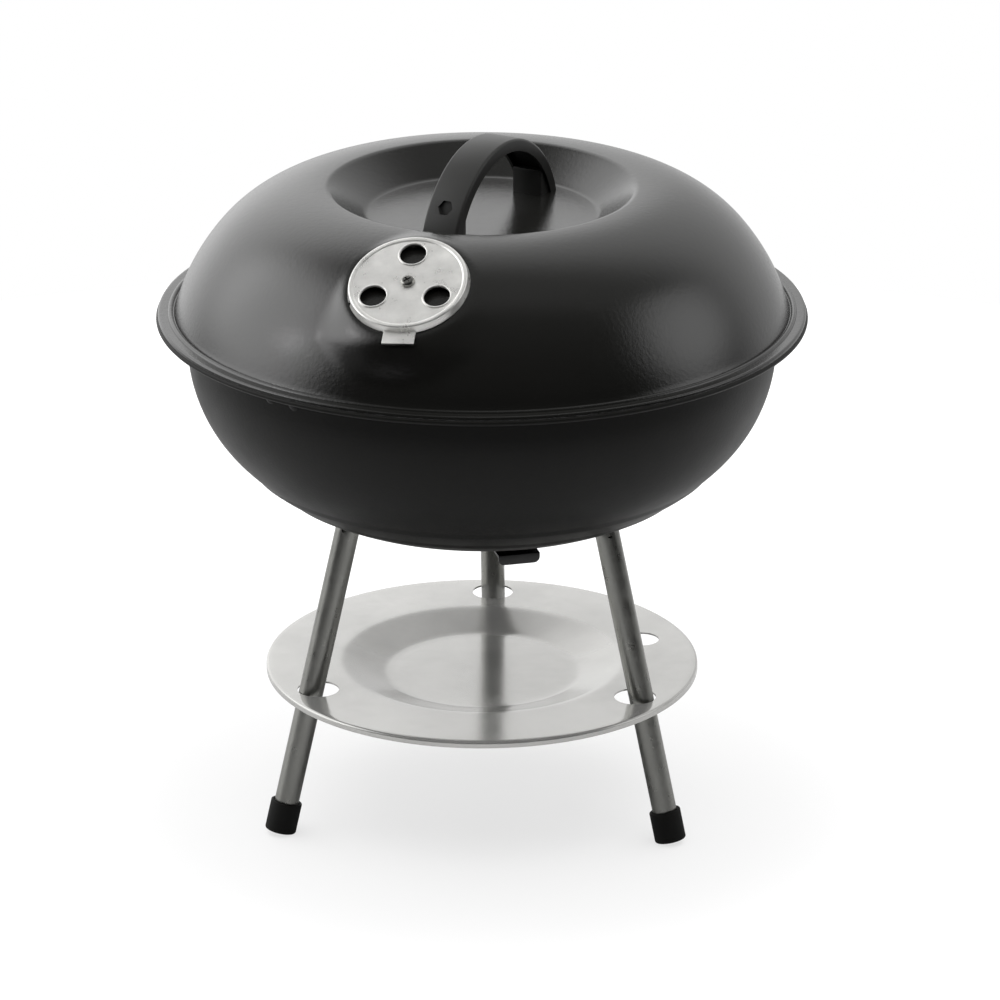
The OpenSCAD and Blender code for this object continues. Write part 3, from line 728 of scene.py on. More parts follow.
class Paint(Wiring):
    """A material whose Principled shader is fed by groups and plain nodes."""

    def __init__(self, name, **settings):
        self.material = bpy.data.materials.new(name)
        self.material.use_nodes = True
        super().__init__(self.material.node_tree, grouped=False)
        self.shader = self.tree.nodes["Principled BSDF"]
        for label, value in settings.items():
            self.shader.inputs[label.replace("_", " ")].default_value = value

    def group(self, name, **values):
        """One of the shared groups, with this material's own values."""
        made = self.tree.nodes.new("ShaderNodeGroup")
        made.node_tree = group_named(name)
        for label, value in values.items():
            made.inputs[label.replace("_", " ")].default_value = value
        return made

    def ramp(self, mask, low, high):
        """A number that follows a mask from 0.3 to 0.7 between two values."""
        node = self.node("ShaderNodeMapRange", {0: mask, 1: 0.3, 2: 0.7, 3: low, 4: high})
        return node.outputs[0]

    def tint(self, mask, dark, light):
        """A colour that follows a mask between two colours."""
        mixed = self.node("ShaderNodeMix", {0: mask}, data_type="RGBA")
        mixed.inputs[6].default_value = (*dark, 1)
        mixed.inputs[7].default_value = (*light, 1)
        return mixed.outputs[2]

    def feed(self, label, socket):
        """Links a socket to one of the shader's own."""
        self.tree.links.new(socket, self.shader.inputs[label])

    def bump(self, height, strength, distance):
        """A Bump node into the shader's normal."""
        made = self.node("ShaderNodeBump", {
            "Height": height, "Strength": strength, "Distance": distance})
        self.feed("Normal", made.outputs[0])

    def skin(self, group, mask, base, tints, gloss, ramps, strength, distance):
        """Feeds the colour, the roughness and the bump from one of the shared groups."""
        mask = group.outputs[mask]
        self.feed("Base Color", self.tint(mask, *(scaled(base, factor) for factor in tints)))
        self.feed("Roughness", self.ramp(mask, *(gloss * factor for factor in ramps)))
        self.bump(group.outputs["Height"], strength, distance)
        return self.material


def scaled(colour_value, factor):
    """A colour made lighter or darker."""
    return tuple(min(1.0, c * factor) for c in colour_value)


def enamel(name, base, gloss, peel_scale, peel, grit, ior):
    """Vitreous enamel over pressed steel."""
    p = Paint(name, Metallic=0.0, IOR=ior)
    skin = p.group("peel_and_grit", Scale=peel_scale, Grit_Scale=1500.0, Grit=grit)
    return p.skin(skin, "Mask", base, (0.85, 1.2), gloss, (0.85, 1.2), peel, 0.4 * MM)


def sheet_metal(name, base, gloss, patch, speck, stretch, depth, metallic=1.0):
    """Bare, plated or polished metal with clouds and specks."""
    p = Paint(name, Metallic=metallic)
    skin = p.group("metal_mottle", Patch_Scale=patch, Speck_Scale=speck, Stretch=stretch)
    return p.skin(skin, "Patches", base, (0.78, 1.18), gloss, (0.75, 1.3), depth, 0.2 * MM)


def moulded(name, base, gloss, grain, depth, ior):
    """Moulded plastic or rubber with a fine grain."""
    p = Paint(name, Metallic=0.0, IOR=ior)
    skin = p.group("peel_and_grit", Scale=grain, Grit_Scale=2600.0, Grit=0.6)
    return p.skin(skin, "Mask", base, (0.8, 1.3), gloss, (0.88, 1.12), depth, 0.2 * MM)


@functools.cache
def finish(name):
    """The named finish, built when it is first asked for."""
    f = bpy.context.scene.grill_finish
    # The plate's steel is a darker copy (0.66) of the bare steel: painted shade for the dim
    # surroundings that the plate reflects.
    plate, plated = scaled(f.steel, 0.66), scaled(f.zinc, 1.5)
    makers = {
        "lid_enamel": (enamel, f.lid_black, f.lid_gloss, 420.0, 0.2, 0.8, 1.75),
        "bowl_enamel": (enamel, f.bowl_black, f.bowl_gloss, 500.0, 0.15, 0.6, 1.27),
        "damper_enamel": (enamel, f.bowl_black, f.bowl_gloss, 500.0, 0.1, 0.4, 1.5),
        "pressed_steel": (sheet_metal, f.steel, 0.32, 90.0, 1500.0, 1.0, 0.05, 0.82),
        "plate_steel": (sheet_metal, plate, 0.15, 26.0, 1200.0, 1.0, 0.05, 0.7),
        "leg_zinc": (sheet_metal, f.zinc, 0.32, 160.0, 900.0, 0.5, 0.35),
        "fastener_steel": (sheet_metal, plated, 0.3, 200.0, 1500.0, 1.0, 0.08),
        "wire_chrome": (sheet_metal, f.chrome, 0.18, 80.0, 900.0, 1.0, 0.04),
        "handle_plastic": (moulded, f.plastic, 0.34, 900.0, 0.06, 1.43),
        "foot_rubber": (moulded, f.rubber, 0.7, 700.0, 0.15, 1.3),
    }
    maker, *values = makers[name]
    return maker(name, *values)


class GrillStep(bpy.types.Operator):
    """One step of the build"""
    bl_options = {"REGISTER", "UNDO"}

    def execute(self, context):
        """Reads the sizes and the two shells' shapes, then makes the step's pieces."""
        scene = context.scene
        self.shell = scene.grill_shell
        self.vent = scene.grill_vent
        self.handle = scene.grill_handle
        self.stand = scene.grill_stand
        self.bowl = BowlShape(self.shell)
        self.lid = LidShape(self.shell)
        self.build()
        return {"FINISHED"}


# ---- the lid ----

def press_seat(obj, frame_in, v, inset, crest_r):
    """Presses the vent's flat seat and its soft flank into a skin of the lid, outside the crest."""
    inverse = frame_in.inverted()
    axis = frame_in.to_3x3() @ Vector((0, 0, 1))
    tallest = 12 * MM
    reach = v.seat_r + v.blend + v.flare * tallest
    for vertex in obj.data.vertices:
        at = inverse @ vertex.co
        across = math.hypot(at.x, at.y)
        lift = -inset - at.z
        if across > reach or abs(lift) > 2 * tallest or vertex.co.xy.length < crest_r:
            continue
        width = v.blend + v.flare * min(abs(lift), tallest)
        t = min(max((across - v.seat_r) / width, 0.0), 1.0)
        vertex.co += axis * lift * (1 - t * t * (3 - 2 * t))
    obj.data.update()


class GRILL_OT_lid(GrillStep):
    """Adds the lid's dished dome, its flange and the vent seat pressed into it"""
    bl_idname = "grill.add_lid"
    bl_label = "Lid"

    def flange(self, s, lid):
        """The outside of the flange from the dome's foot to the lip, and the way back inside."""
        z = lid.flange_z
        bead = (lid.dome_r + s.bead_r + 0.6 * MM, z - 0.4 * MM)
        rise = math.asin(0.4 * MM / s.bead_r)
        outside = [(lid.dome_r + 0.25 * MM, z)]
        outside += arc(bead, s.bead_r, HALF - rise, rise, 10)
        outside += line((bead[0] + s.bead_r + 0.3 * MM, z), (lid.edge_r - s.sheet, z), 4)
        outside += arc((lid.edge_r - s.sheet, z - s.sheet), s.sheet, QUARTER, 0, 5)
        outside.append((lid.edge_r, lid.seat_z))
        inside = [(lid.edge_r - s.sheet, lid.seat_z), (lid.edge_r - s.sheet, z - s.sheet)]
        inside += line((lid.edge_r - 2 * s.sheet, z - s.sheet),
                       (lid.dome_r - s.sheet, z - s.sheet), 5)[1:]
        return outside, inside

    def build(self):
        s, v, lid = self.shell, self.vent, self.lid
        material = finish("lid_enamel")
        outside, inside = self.flange(s, lid)
        skins = []
        sides = ((0.0, outside), (s.sheet, list(reversed(inside)) + [outside[-1]]))
        for inset, extra in sides:
            skin = spun("skin", lid.dome(inset, 36) + extra, material, 240, 0.62, v.turn - QUARTER)
            press_seat(skin, lid.seat_frame(v), v, inset, s.crest_r)
            skins.append(skin)
        shell = tidy(joined(*skins))
        shell.name = "lid_shell"
        through = (-8 * MM, 8 * MM)
        seat = lid.seat_frame(v)
        holes = [drill(SCREW_BORE, *through, seat, 24)]
        holes += three_drills(v.hole_r, v.pitch_r, *through, v.phase + math.radians(150), seat)
        for side in (-1, 1):
            spot = lid.dish_frame(self.handle) @ shift(side * screw_reach(self), 0, 0)
            holes.append(drill(HANDLE_BORE, *through, spot, 24))
        cut(shell, *holes)
        settle(shell, "cover", "lid_enamel", "lid", crease=40)


def foot_span(step):
    """Half the distance between the handle's feet."""
    return step.shell.dish_r - step.handle.foot_in


def screw_reach(step):
    """Distance of each handle screw from the middle of the arch."""
    return foot_span(step) - 9 * MM


class GRILL_OT_lid_handle(GrillStep):
    """Adds the moulded arch handle"""
    bl_idname = "grill.add_lid_handle"
    bl_label = "Lid Handle"

    def section(self, h, outer):
        """The strap's channel section as (across, radius) points, with rounded edges."""
        half = h.width / 2
        points = []
        for side in (1, -1):
            turn = 0 if side == 1 else QUARTER
            centre = (side * (half - h.edge), outer - h.edge)
            corner = arc(centre, h.edge, turn, turn + QUARTER, 5)
            foot = (side * half, outer - h.skin - h.lip)
            inner = (side * (half - h.wall), outer - h.skin - h.lip)
            hollow = (side * (half - h.wall - 0.4 * MM), outer - h.skin)
            if side == 1:
                points += [hollow, inner, foot] + corner
            else:
                points += corner + [foot, inner, hollow]
        return points

    def build(self):
        h, lid = self.handle, self.lid
        span = foot_span(self)
        outer = (span * span + h.rise * h.rise) / (2 * h.rise)
        centre_z = h.rise - outer
        start = math.asin(-centre_z / outer) - math.radians(9)
        section = self.section(h, outer)
        steps = 72
        turns = [start + (HALF - 2 * start) * i / steps for i in range(steps + 1)]
        strap = loft("handle_arch", [
            [(radius * math.cos(a), across, centre_z + radius * math.sin(a))
             for across, radius in section] for a in turns])
        half = h.width / 2 - h.wall + 0.2 * MM
        bosses = []
        for side in (-1, 1):
            ends = sorted((side * (span - 16 * MM), side * (span - 1.5 * MM)))
            bosses.append(slab("boss", ends, (-half, half), (-6 * MM, 15 * MM), 1.2 * MM))
        cut(strap, *bosses, operation="UNION")
        keep = drill(outer - 0.02 * MM, -30 * MM, 30 * MM,
                     shift(0, 0, centre_z) @ turned(QUARTER, "X"), 160)
        cut(strap, keep, operation="INTERSECT")
        tools = [slab("floor", (-0.1, 0.1), (-0.1, 0.1), (-40 * MM, 0))]
        socket_r, socket_tilt = 4.62 * MM, math.radians(70)
        for side in (0, HALF):
            spot = turned(side) @ shift(span - 11 * MM, 0, 17 * MM) @ turned(socket_tilt, "Y")
            tools.append(drill(socket_r, 0, 20 * MM, spot, 6))
        cut(strap, *tools)
        tidy(strap)
        settle(place(strap, lid.dish_frame(h)), "cover", "handle_plastic", "lid_handle", crease=38)


class GRILL_OT_lid_damper(GrillStep):
    """Adds the pressed damper cap with its rolled vent holes and its tab"""
    bl_idname = "grill.add_lid_damper"
    bl_label = "Lid Damper"

    def build(self):
        v, lid = self.vent, self.lid
        material = finish("pressed_steel")
        top = v.height
        r = v.radius
        edge = 1.1 * MM
        step_r = r - 3.4 * MM
        face = top - 0.6 * MM
        outline = [(0, face - v.sheet), (step_r - 0.6 * MM, face - v.sheet),
                   (r - v.sheet - 1 * MM, face - v.sheet),
                   (r - v.sheet, 0), (r, 0), (r - 0.9 * MM, top - edge)]
        outline += arc((r - 0.9 * MM - edge, top - edge), edge, 0, QUARTER, 6)[1:]
        outline += [(step_r + 0.5 * MM, top), (step_r, top - 0.12 * MM),
                    (step_r - 0.5 * MM, face), (0, face)]
        cap = spun("damper_cap", outline, material, 144)
        tab_half, tab_reach = 9 * MM, 7.4 * MM
        tab = slab("tab", (-tab_half, tab_half), (r - 2 * MM, r + tab_reach), (0, v.sheet), 0.3 * MM)
        place(tab, turned(HALF + v.phase))
        cut(cap, tab, operation="UNION")
        low, high = -1 * MM, 8 * MM
        tools = three_drills(v.hole_r, v.pitch_r, low, high, QUARTER + v.phase, segments=64)
        tools.append(drill(SCREW_BORE, low, high, segments=24))
        notch, notch_half = 3 * MM, 1.5 * MM
        for turn in (120, -35):
            tool = slab("notch", (r - notch, r + notch), (-notch_half, notch_half), (low, 2.6 * MM))
            tools.append(place(tool, turned(math.radians(turn + 90))))
        cut(cap, *tools)
        roll = 0.62 * MM
        crown = arc((v.hole_r + 0.45 * MM, face), roll, 0, HALF, 8)
        lip = ring_solid("lip", crown, material, 64)
        place(lip, turned(QUARTER + v.phase) @ shift(v.pitch_r, 0, 0))
        grown(lip, "turned_copies", material, Count=3, Start=0.0, Step=THIRD)
        joined(cap, lip)
        place(cap, lid.seat_frame(v) @ shift(0, 0, v.gap))
        settle(cap, "top_vent", "pressed_steel", "lid_damper", crease=40)


class GRILL_OT_lid_fasteners(GrillStep):
    """Adds the damper's screw, spring washer and nut, and the handle's screws and washers"""
    bl_idname = "grill.add_lid_fasteners"
    bl_label = "Lid Fasteners"

    def cross_head(self, name, material, shank_r, shank_low, seat_z, head_r, head_h):
        """A pan-head screw with a cross recess."""
        recess_z = seat_z + head_h * 0.35
        outline = [(shank_r * 0.7, shank_low), (shank_r, shank_low + 0.5 * MM), (shank_r, seat_z),
                   (head_r, seat_z), (head_r, recess_z)]
        outline += arc((head_r - head_h * 0.65, recess_z), head_h * 0.65, 0, QUARTER, 6)
        screw = spun_solid(name, outline, material, 40)
        arm, half = head_r * 0.55, 0.45 * MM
        tools = []
        for turn in (45, 135):
            tool = slab("slot", (-arm, arm), (-half, half), (recess_z, seat_z + head_h + 1 * MM))
            tools.append(place(tool, turned(math.radians(turn))))
        return cut(screw, *tools)

    def build(self):
        v, lid, h = self.vent, self.lid, self.handle
        sheet = self.shell.sheet
        material = finish("fastener_steel")
        seat = lid.seat_frame(v)
        head_z = v.height + v.gap
        screw = self.cross_head("vent_screw", material, shank_r=2 * MM, shank_low=-9 * MM,
                                seat_z=head_z - 0.55 * MM, head_r=3.9 * MM, head_h=2.4 * MM)
        settle(place(screw, seat), "cover", "fastener_steel", "lid_damper_screw")
        washer = ring_solid("vent_spring_washer", in_mm(
            -sheet, (2.1, -0.6), (5.3, -0.12), (5.5, -0.6), (5.3, -1.0), (2.1, -1.5)), material, 48)
        settle(place(washer, seat), "cover", "fastener_steel", "lid_damper_spring_washer")
        nut_r, nut_bore = 4.6 * MM, 2.05 * MM
        nut = drill(nut_r, -sheet - 5 * MM, -sheet - 1.6 * MM, segments=6)
        cut(nut, drill(nut_bore, -sheet - 8 * MM, 0, segments=24))
        rounded(nut, in_mm(-sheet, (3.9, -5), (4.6, -4.4), (4.6, -2.2), (3.9, -1.6)), material)
        nut.name = "vent_nut"
        settle(place(nut, seat), "cover", "fastener_steel", "lid_damper_nut", crease=25)
        dish = lid.dish_frame(h)
        heads = self.cross_head("handle_screws", material, shank_r=2.35 * MM, shank_low=-11 * MM,
                                seat_z=sheet + 1.25 * MM, head_r=4.5 * MM, head_h=2.7 * MM)
        rings = ring_solid("handle_washers", in_mm(
            -sheet, (2.5, -1.2), (6.9, -1.2), (7, -1.0), (7, -0.2), (6.9, 0), (2.5, 0)),
            material, 48)
        place(heads, turned(HALF, "X"))
        for piece, node in ((heads, "handle_screws"), (rings, "handle_washers")):
            place(piece, shift(screw_reach(self), 0, 0))
            grown(piece, "turned_copies", material, Count=2, Start=0.0, Step=HALF)
            settle(place(piece, dish), "cover", "fastener_steel", node)


# ---- the bowl ----

class GRILL_OT_bowl(GrillStep):
    """Adds the bowl with its rolled rim, pressed rings and bottom vents"""
    bl_idname = "grill.add_bowl"
    bl_label = "Bowl"

    def rim(self, s, bowl):
        """The rim from under the flange, round the roll and back to the wall's inside."""
        roll = s.rim_h / 2
        centre = (s.rim_r - roll, bowl.seat_z - roll)
        under = bowl.seat_z - s.sheet
        fold = 1.6 * MM
        points = arc((bowl.wall_r + fold, under - fold), fold, HALF, QUARTER, 5)
        points += line((bowl.wall_r + fold + 1 * MM, under),
                       (centre[0] - roll - 0.6 * MM, under), 4)
        dip = math.asin((under - centre[1]) / roll)
        points += arc(centre, roll, HALF - dip + math.radians(2), math.radians(450), 18)
        points += line((centre[0] - 1 * MM, bowl.seat_z), (bowl.wall_r + fold, bowl.seat_z), 5)
        inner = (bowl.wall_r - s.sheet + fold, bowl.seat_z - fold)
        return points + arc(inner, fold, QUARTER, HALF, 5)

    def build(self):
        s, v, bowl = self.shell, self.vent, self.bowl
        material = finish("bowl_enamel")
        outline = list(reversed(bowl.wall(0.0, 26))) + self.rim(s, bowl) + bowl.wall(s.sheet, 26)
        shell = spun("bowl_shell", outline, material, 256)
        bottom = shift(0, 0, bowl.bottom_z)
        through = (-5 * MM, 5 * MM)
        first = v.lever_turn + QUARTER + math.radians(60)
        tools = three_drills(BOTTOM_HOLE_R, BOTTOM_PITCH_R, *through, first, bottom)
        tools.append(drill(PIVOT_BORE, *through, bottom, 32))
        cut(shell, *tools)
        settle(shell, "stand", "bowl_enamel", "bowl", crease=30)


class GRILL_OT_grate_brackets(GrillStep):
    """Adds the three riveted brackets that carry the cooking grate"""
    bl_idname = "grill.add_grate_brackets"
    bl_label = "Grate Brackets"

    def build(self):
        s, bowl = self.shell, self.bowl
        material = finish("fastener_steel")
        outer = bowl.wall_r - s.sheet - 0.2 * MM
        low = s.rim_z - 16.5 * MM
        high = low + 15.5 * MM
        thick = 1.2 * MM
        inner = outer - 13 * MM
        section = [(outer, high), (outer - thick, high), (outer - thick, low + thick + 0.8 * MM)]
        section += [(outer - thick - 0.8 * MM, low + thick), (inner, low + thick),
                    (inner, low), (outer, low)]
        half = 11 * MM / bowl.wall_r
        steps = 8
        turns = [-QUARTER - half + 2 * half * i / steps for i in range(steps + 1)]
        bracket = loft("grate_brackets", [
            [(r * math.cos(a), r * math.sin(a), z) for r, z in section] for a in turns])
        start = math.radians(-37.5)
        grown(bracket, "turned_copies", material, Count=3, Start=start, Step=THIRD)
        settle(bracket, "stand", "fastener_steel", *BRACKET_NODES)
        grip = -3.03 * MM
        rivet_side, rivet_z = 8.5 * MM, s.rim_z - 6 * MM
        rivets = []
        for side in (-1, 1):
            outline = [(0, grip - 0.9 * MM), (2.4 * MM, grip - 0.9 * MM), (3.4 * MM, grip),
                       (2 * MM, grip), (2 * MM, 0), (4 * MM, 0)]
            outline += arc((0, -4.1 * MM), 5.7 * MM, math.radians(46), QUARTER, 7)
            rivet = spun("rivet", outline, material, 32)
            place(rivet, shift(side * rivet_side, 0, rivet_z)
                  @ turned(QUARTER, "X") @ shift(0, 0, bowl.wall_r))
            rivets.append(rivet)
        pair = joined(*rivets)
        pair.name = "bracket_rivet_heads"
        grown(pair, "turned_copies", material, Count=3, Start=start, Step=THIRD)
        settle(pair, "stand", "fastener_steel", "bracket_rivets", look="bowl_enamel")


class GRILL_OT_grates(GrillStep):
    """Adds the cooking grate and the charcoal grate"""
    bl_idname = "grill.add_grates"
    bl_label = "Grates"

    def grate(self, name, node, body, wire, rod, pitch, bar):
        """A wire grate that fills its CAD node's box."""
        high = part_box(node)[1]
        ring_r = high.x - wire
        obj = new_object(name, bpy.data.meshes.new(name))
        each_side = math.floor((ring_r - pitch / 3) / pitch)
        grown(obj, "wire_grate", finish("wire_chrome"), Ring_Radius=ring_r, Ring_Wire=wire,
              Rod_Wire=rod, Pitch=pitch, Rods_Each_Side=each_side, Bar_Place=bar)
        place(obj, shift(0, 0, high.z - wire))
        tidy(obj)
        settle(obj, body, "wire_chrome", node)

    def build(self):
        self.grate("food_grate_wires", "cooking_grate", "food_grate",
                   wire=2.2 * MM, rod=1.6 * MM, pitch=18 * MM, bar=60 * MM)
        self.grate("coal_grate_wires", "charcoal_grate", "coal_grate",
                   wire=2.5 * MM, rod=2 * MM, pitch=26 * MM, bar=48 * MM)


class GRILL_OT_bowl_damper(GrillStep):
    """Adds the damper under the bowl with its lever, and the rivet that holds it"""
    bl_idname = "grill.add_bowl_damper"
    bl_label = "Bowl Damper"

    def build(self):
        s, v, bowl = self.shell, self.vent, self.bowl
        material = finish("damper_enamel")
        thick = 1.2 * MM
        top = bowl.bottom_z - v.gap
        radius = s.bowl_flat_r - 15 * MM
        disc = spun_solid("bottom_damper", [
            (radius - 0.3 * MM, top - thick), (radius, top - thick + 0.3 * MM),
            (radius, top - 0.3 * MM), (radius - 0.3 * MM, top)], material, 96)
        half = 12 * MM
        end = v.lever_reach - 0.4 * MM
        lever = slab("lever", (-half, half), (-end, 0), (top - thick, top))
        tab = prism("tab", self.tab_outline(half, 5.8 * MM, 3.4 * MM), 0, thick, 0.25 * MM)
        place(tab, shift(0, -v.lever_reach + thick, top) @ turned(QUARTER, "X"))
        cut(lever, tab, operation="UNION")
        place(lever, turned(v.lever_turn))
        cut(disc, lever, operation="UNION")
        through = (top - 4 * MM, top + 4 * MM)
        tools = three_drills(BOTTOM_HOLE_R, BOTTOM_PITCH_R, *through, v.lever_turn + QUARTER)
        tools.append(drill(PIVOT_BORE, *through, segments=32))
        cut(disc, *tools)
        tidy(disc)
        settle(disc, "bottom_vent", "damper_enamel", "bowl_damper")
        steel = finish("fastener_steel")
        outline = in_mm(
            bowl.bottom_z, (0, -3.8), (3.6, -3.8), (5.2, -2.7), (5.6, -1.8), (3, -1.8), (3, 1.3),
            (5.6, 1.3), (5.2, 2.2), (4, 3.25), (0, 3.3))
        rivet = spun("damper_rivet", outline, steel, 48)
        settle(rivet, "stand", "fastener_steel", "bowl_damper_rivet")

    def tab_outline(self, half, depth, corner):
        """A tab that hangs down from y = 0, with two rounded lower corners."""
        points = [(half, 0), (-half, 0)]
        down, full = math.radians(270), math.radians(360)
        points += arc((-half + corner, -depth + corner), corner, HALF, down, 6)
        points += arc((half - corner, -depth + corner), corner, down, full, 6)
        return points


# ---- the stand ----

class GRILL_OT_legs(GrillStep):
    """Adds the three tube legs with their plugs, and their bolts and washers inside the bowl"""
    bl_idname = "grill.add_legs"
    bl_label = "Legs"

    def copies(self, piece, slot, *nodes, crease=35):
        """Three copies of a piece made in a leg's own frame, settled on the stand."""
        place(piece, self.bowl.leg_frame(self.stand.tilt))
        grown(piece, "turned_copies", finish(slot), Count=3, Start=FRONT_LEFT, Step=THIRD)
        settle(piece, "stand", slot, *nodes, crease=crease)

    def build(self):
        t, bowl, sheet = self.stand, self.bowl, self.shell.sheet
        steel = finish("fastener_steel")
        zinc = finish("leg_zinc")
        end = leg_end(self)
        top = -bowl.base_arc - 0.1 * MM
        low = -end + t.cap_floor
        bore = t.leg_r - t.leg_wall
        outline = [(bore, low), (t.leg_r, low)]
        outline += line((t.leg_r, low + 1 * MM), (t.leg_r, top - 0.5 * MM), 24)
        outline += arc((t.leg_r - 0.4 * MM, top - 0.4 * MM), 0.4 * MM, 0, QUARTER, 4)
        outline += [(bore, top)]
        tube = ring_solid("leg_tubes", outline, zinc, 48)
        tools = []
        pin_r, pin_half = 1.2 * MM, 9 * MM
        for turn in (45, 135):
            spot = shift(0, 0, top - 5 * MM) @ turned(math.radians(turn)) @ turned(QUARTER, "X")
            tools.append(drill(pin_r, -pin_half, pin_half, spot, 20))
        cut(tube, *tools)
        self.copies(tube, "leg_zinc", *LEG_NODES)
        plug = ring_solid("leg_plug_rings", [
            (2.95 * MM, top - 14.4 * MM), (bore - 0.1 * MM, top - 14.4 * MM),
            (bore - 0.1 * MM, top - 0.4 * MM), (2.95 * MM, top - 0.4 * MM)], steel, 40)
        self.copies(plug, "fastener_steel", "leg_plugs")
        seat = -bowl.base_arc + sheet + 0.09 * MM
        washer = ring_solid("leg_bolt_washers", in_mm(
            seat, (3, 0.4), (8.8, 0.4), (9, 0.6), (9, 1.4), (8.8, 1.6), (3, 1.6)), steel, 48)
        self.copies(washer, "fastener_steel", "leg_washers")
        head_z = seat + 1.6 * MM
        head_r, head_h, shank_r = 5.8 * MM, 4 * MM, 2.9 * MM
        head = drill(head_r, head_z, head_z + head_h, segments=6)
        rounded(head, in_mm(head_z, (5.8, -1), (5.8, 3.1), (5.1, 4)), steel)
        shank = drill(shank_r, head_z - 14 * MM, head_z + 1 * MM, segments=32)
        cut(head, shank, operation="UNION")
        head.name = "leg_bolt_heads"
        self.copies(head, "fastener_steel", "leg_bolts", crease=25)


def leg_end(step):
    """Distance from the middle of the bottom arc to the end of a foot, down the leg."""
    t, bowl = step.stand, step.bowl
    return (bowl.bottom_c[1] + t.foot_cut - t.foot_r * math.sin(t.tilt)) / math.cos(t.tilt)


class GRILL_OT_feet(GrillStep):
    """Adds the three rubber feet"""
    bl_idname = "grill.add_feet"
    bl_label = "Feet"

    def build(self):
        t, bowl = self.stand, self.bowl
        material = finish("foot_rubber")
        low = -leg_end(self)
        high = low + t.foot_len
        bore = t.leg_r + 0.1 * MM
        soft = 1.1 * MM
        outline = [(0, low)] + arc((t.foot_r - soft, low + soft), soft, -QUARTER, 0, 6)
        outline += line((t.foot_r, low + 2.5 * MM), (t.foot_r, high - 1 * MM), 4)
        outline += arc((t.foot_r - 0.7 * MM, high - 0.7 * MM), 0.7 * MM, 0, QUARTER, 5)
        outline += [(bore + 0.3 * MM, high), (bore, high - 0.4 * MM),
                    (bore, low + t.cap_floor), (0, low + t.cap_floor)]
        foot = spun("rubber_feet", outline, material, 64)
        place(foot, bowl.leg_frame(t.tilt))
        cut(foot, slab("ground", (-0.3, 0.3), (-0.3, 0.3), (-20 * MM, 0)))
        grown(foot, "turned_copies", material, Count=3, Start=FRONT_LEFT, Step=THIRD)
        settle(foot, "stand", "foot_rubber", *FOOT_NODES, crease=40)


class GRILL_OT_ash_plate(GrillStep):
    """Adds the dished ash plate with its leg holes and its hanging hole"""
    bl_idname = "grill.add_ash_plate"
    bl_label = "Ash Plate"

    def face(self, inset):
        """The plate's outline from the middle to the lip's edge, moved inwards."""
        t = self.stand
        floor_z = t.plate_z - t.plate_sink - inset
        ring_z = t.plate_z - inset
        half = inset / 2
        low_r, high_r = t.plate_floor_r + half, t.plate_step_r + half
        points = line((0, floor_z), (low_r - 1.5 * MM, floor_z), 12)
        points += [(low_r - 1.5 * MM, floor_z), (low_r + 0.2 * MM, floor_z + 0.2 * MM),
                   (low_r + 1.6 * MM, floor_z + 0.52 * MM)]
        points += line((low_r + 3 * MM, floor_z + 0.93 * MM),
                       (high_r - 1.6 * MM, ring_z - 0.5 * MM), 8)
        points += [(high_r - 1.6 * MM, ring_z - 0.5 * MM), (high_r, ring_z - 0.14 * MM),
                   (high_r + 1.6 * MM, ring_z)]
        points += line((t.plate_step_r + 4 * MM, ring_z), (t.plate_r - t.plate_round, ring_z), 14)
        points += arc((t.plate_r - t.plate_round, t.plate_z - t.plate_round), t.plate_round - inset,
                      QUARTER, 0, 7)
        return points + [(t.plate_r - inset, t.plate_z - t.plate_lip)]

    def build(self):
        t, bowl = self.stand, self.bowl
        material = finish("plate_steel")
        outline = self.face(0.0) + list(reversed(self.face(t.plate_sheet)))
        plate = spun("plate_pressing", outline, material, 256)
        drop_to_plate = bowl.bottom_c[1] - t.plate_z + t.plate_sheet
        leg_at = bowl.bottom_c[0] + drop_to_plate * math.tan(t.tilt)
        hole_at = leg_at + t.leg_r / math.cos(t.tilt) + self.vent.gap - t.plate_hole_r
        spots = [(turn, hole_at, t.plate_hole_r) for turn in (FRONT_LEFT, FRONT_RIGHT, REAR)]
        spots.append((t.hang_turn, t.hang_at, t.hang_r))
        tools = [drill(radius, -5 * MM, 5 * MM, turned(turn) @ shift(0, -reach, t.plate_z), 72)
                 for turn, reach, radius in spots]
        cut(plate, *tools)
        settle(plate, "plate", "plate_steel", "ash_plate", crease=50)


# ---- the stage ----

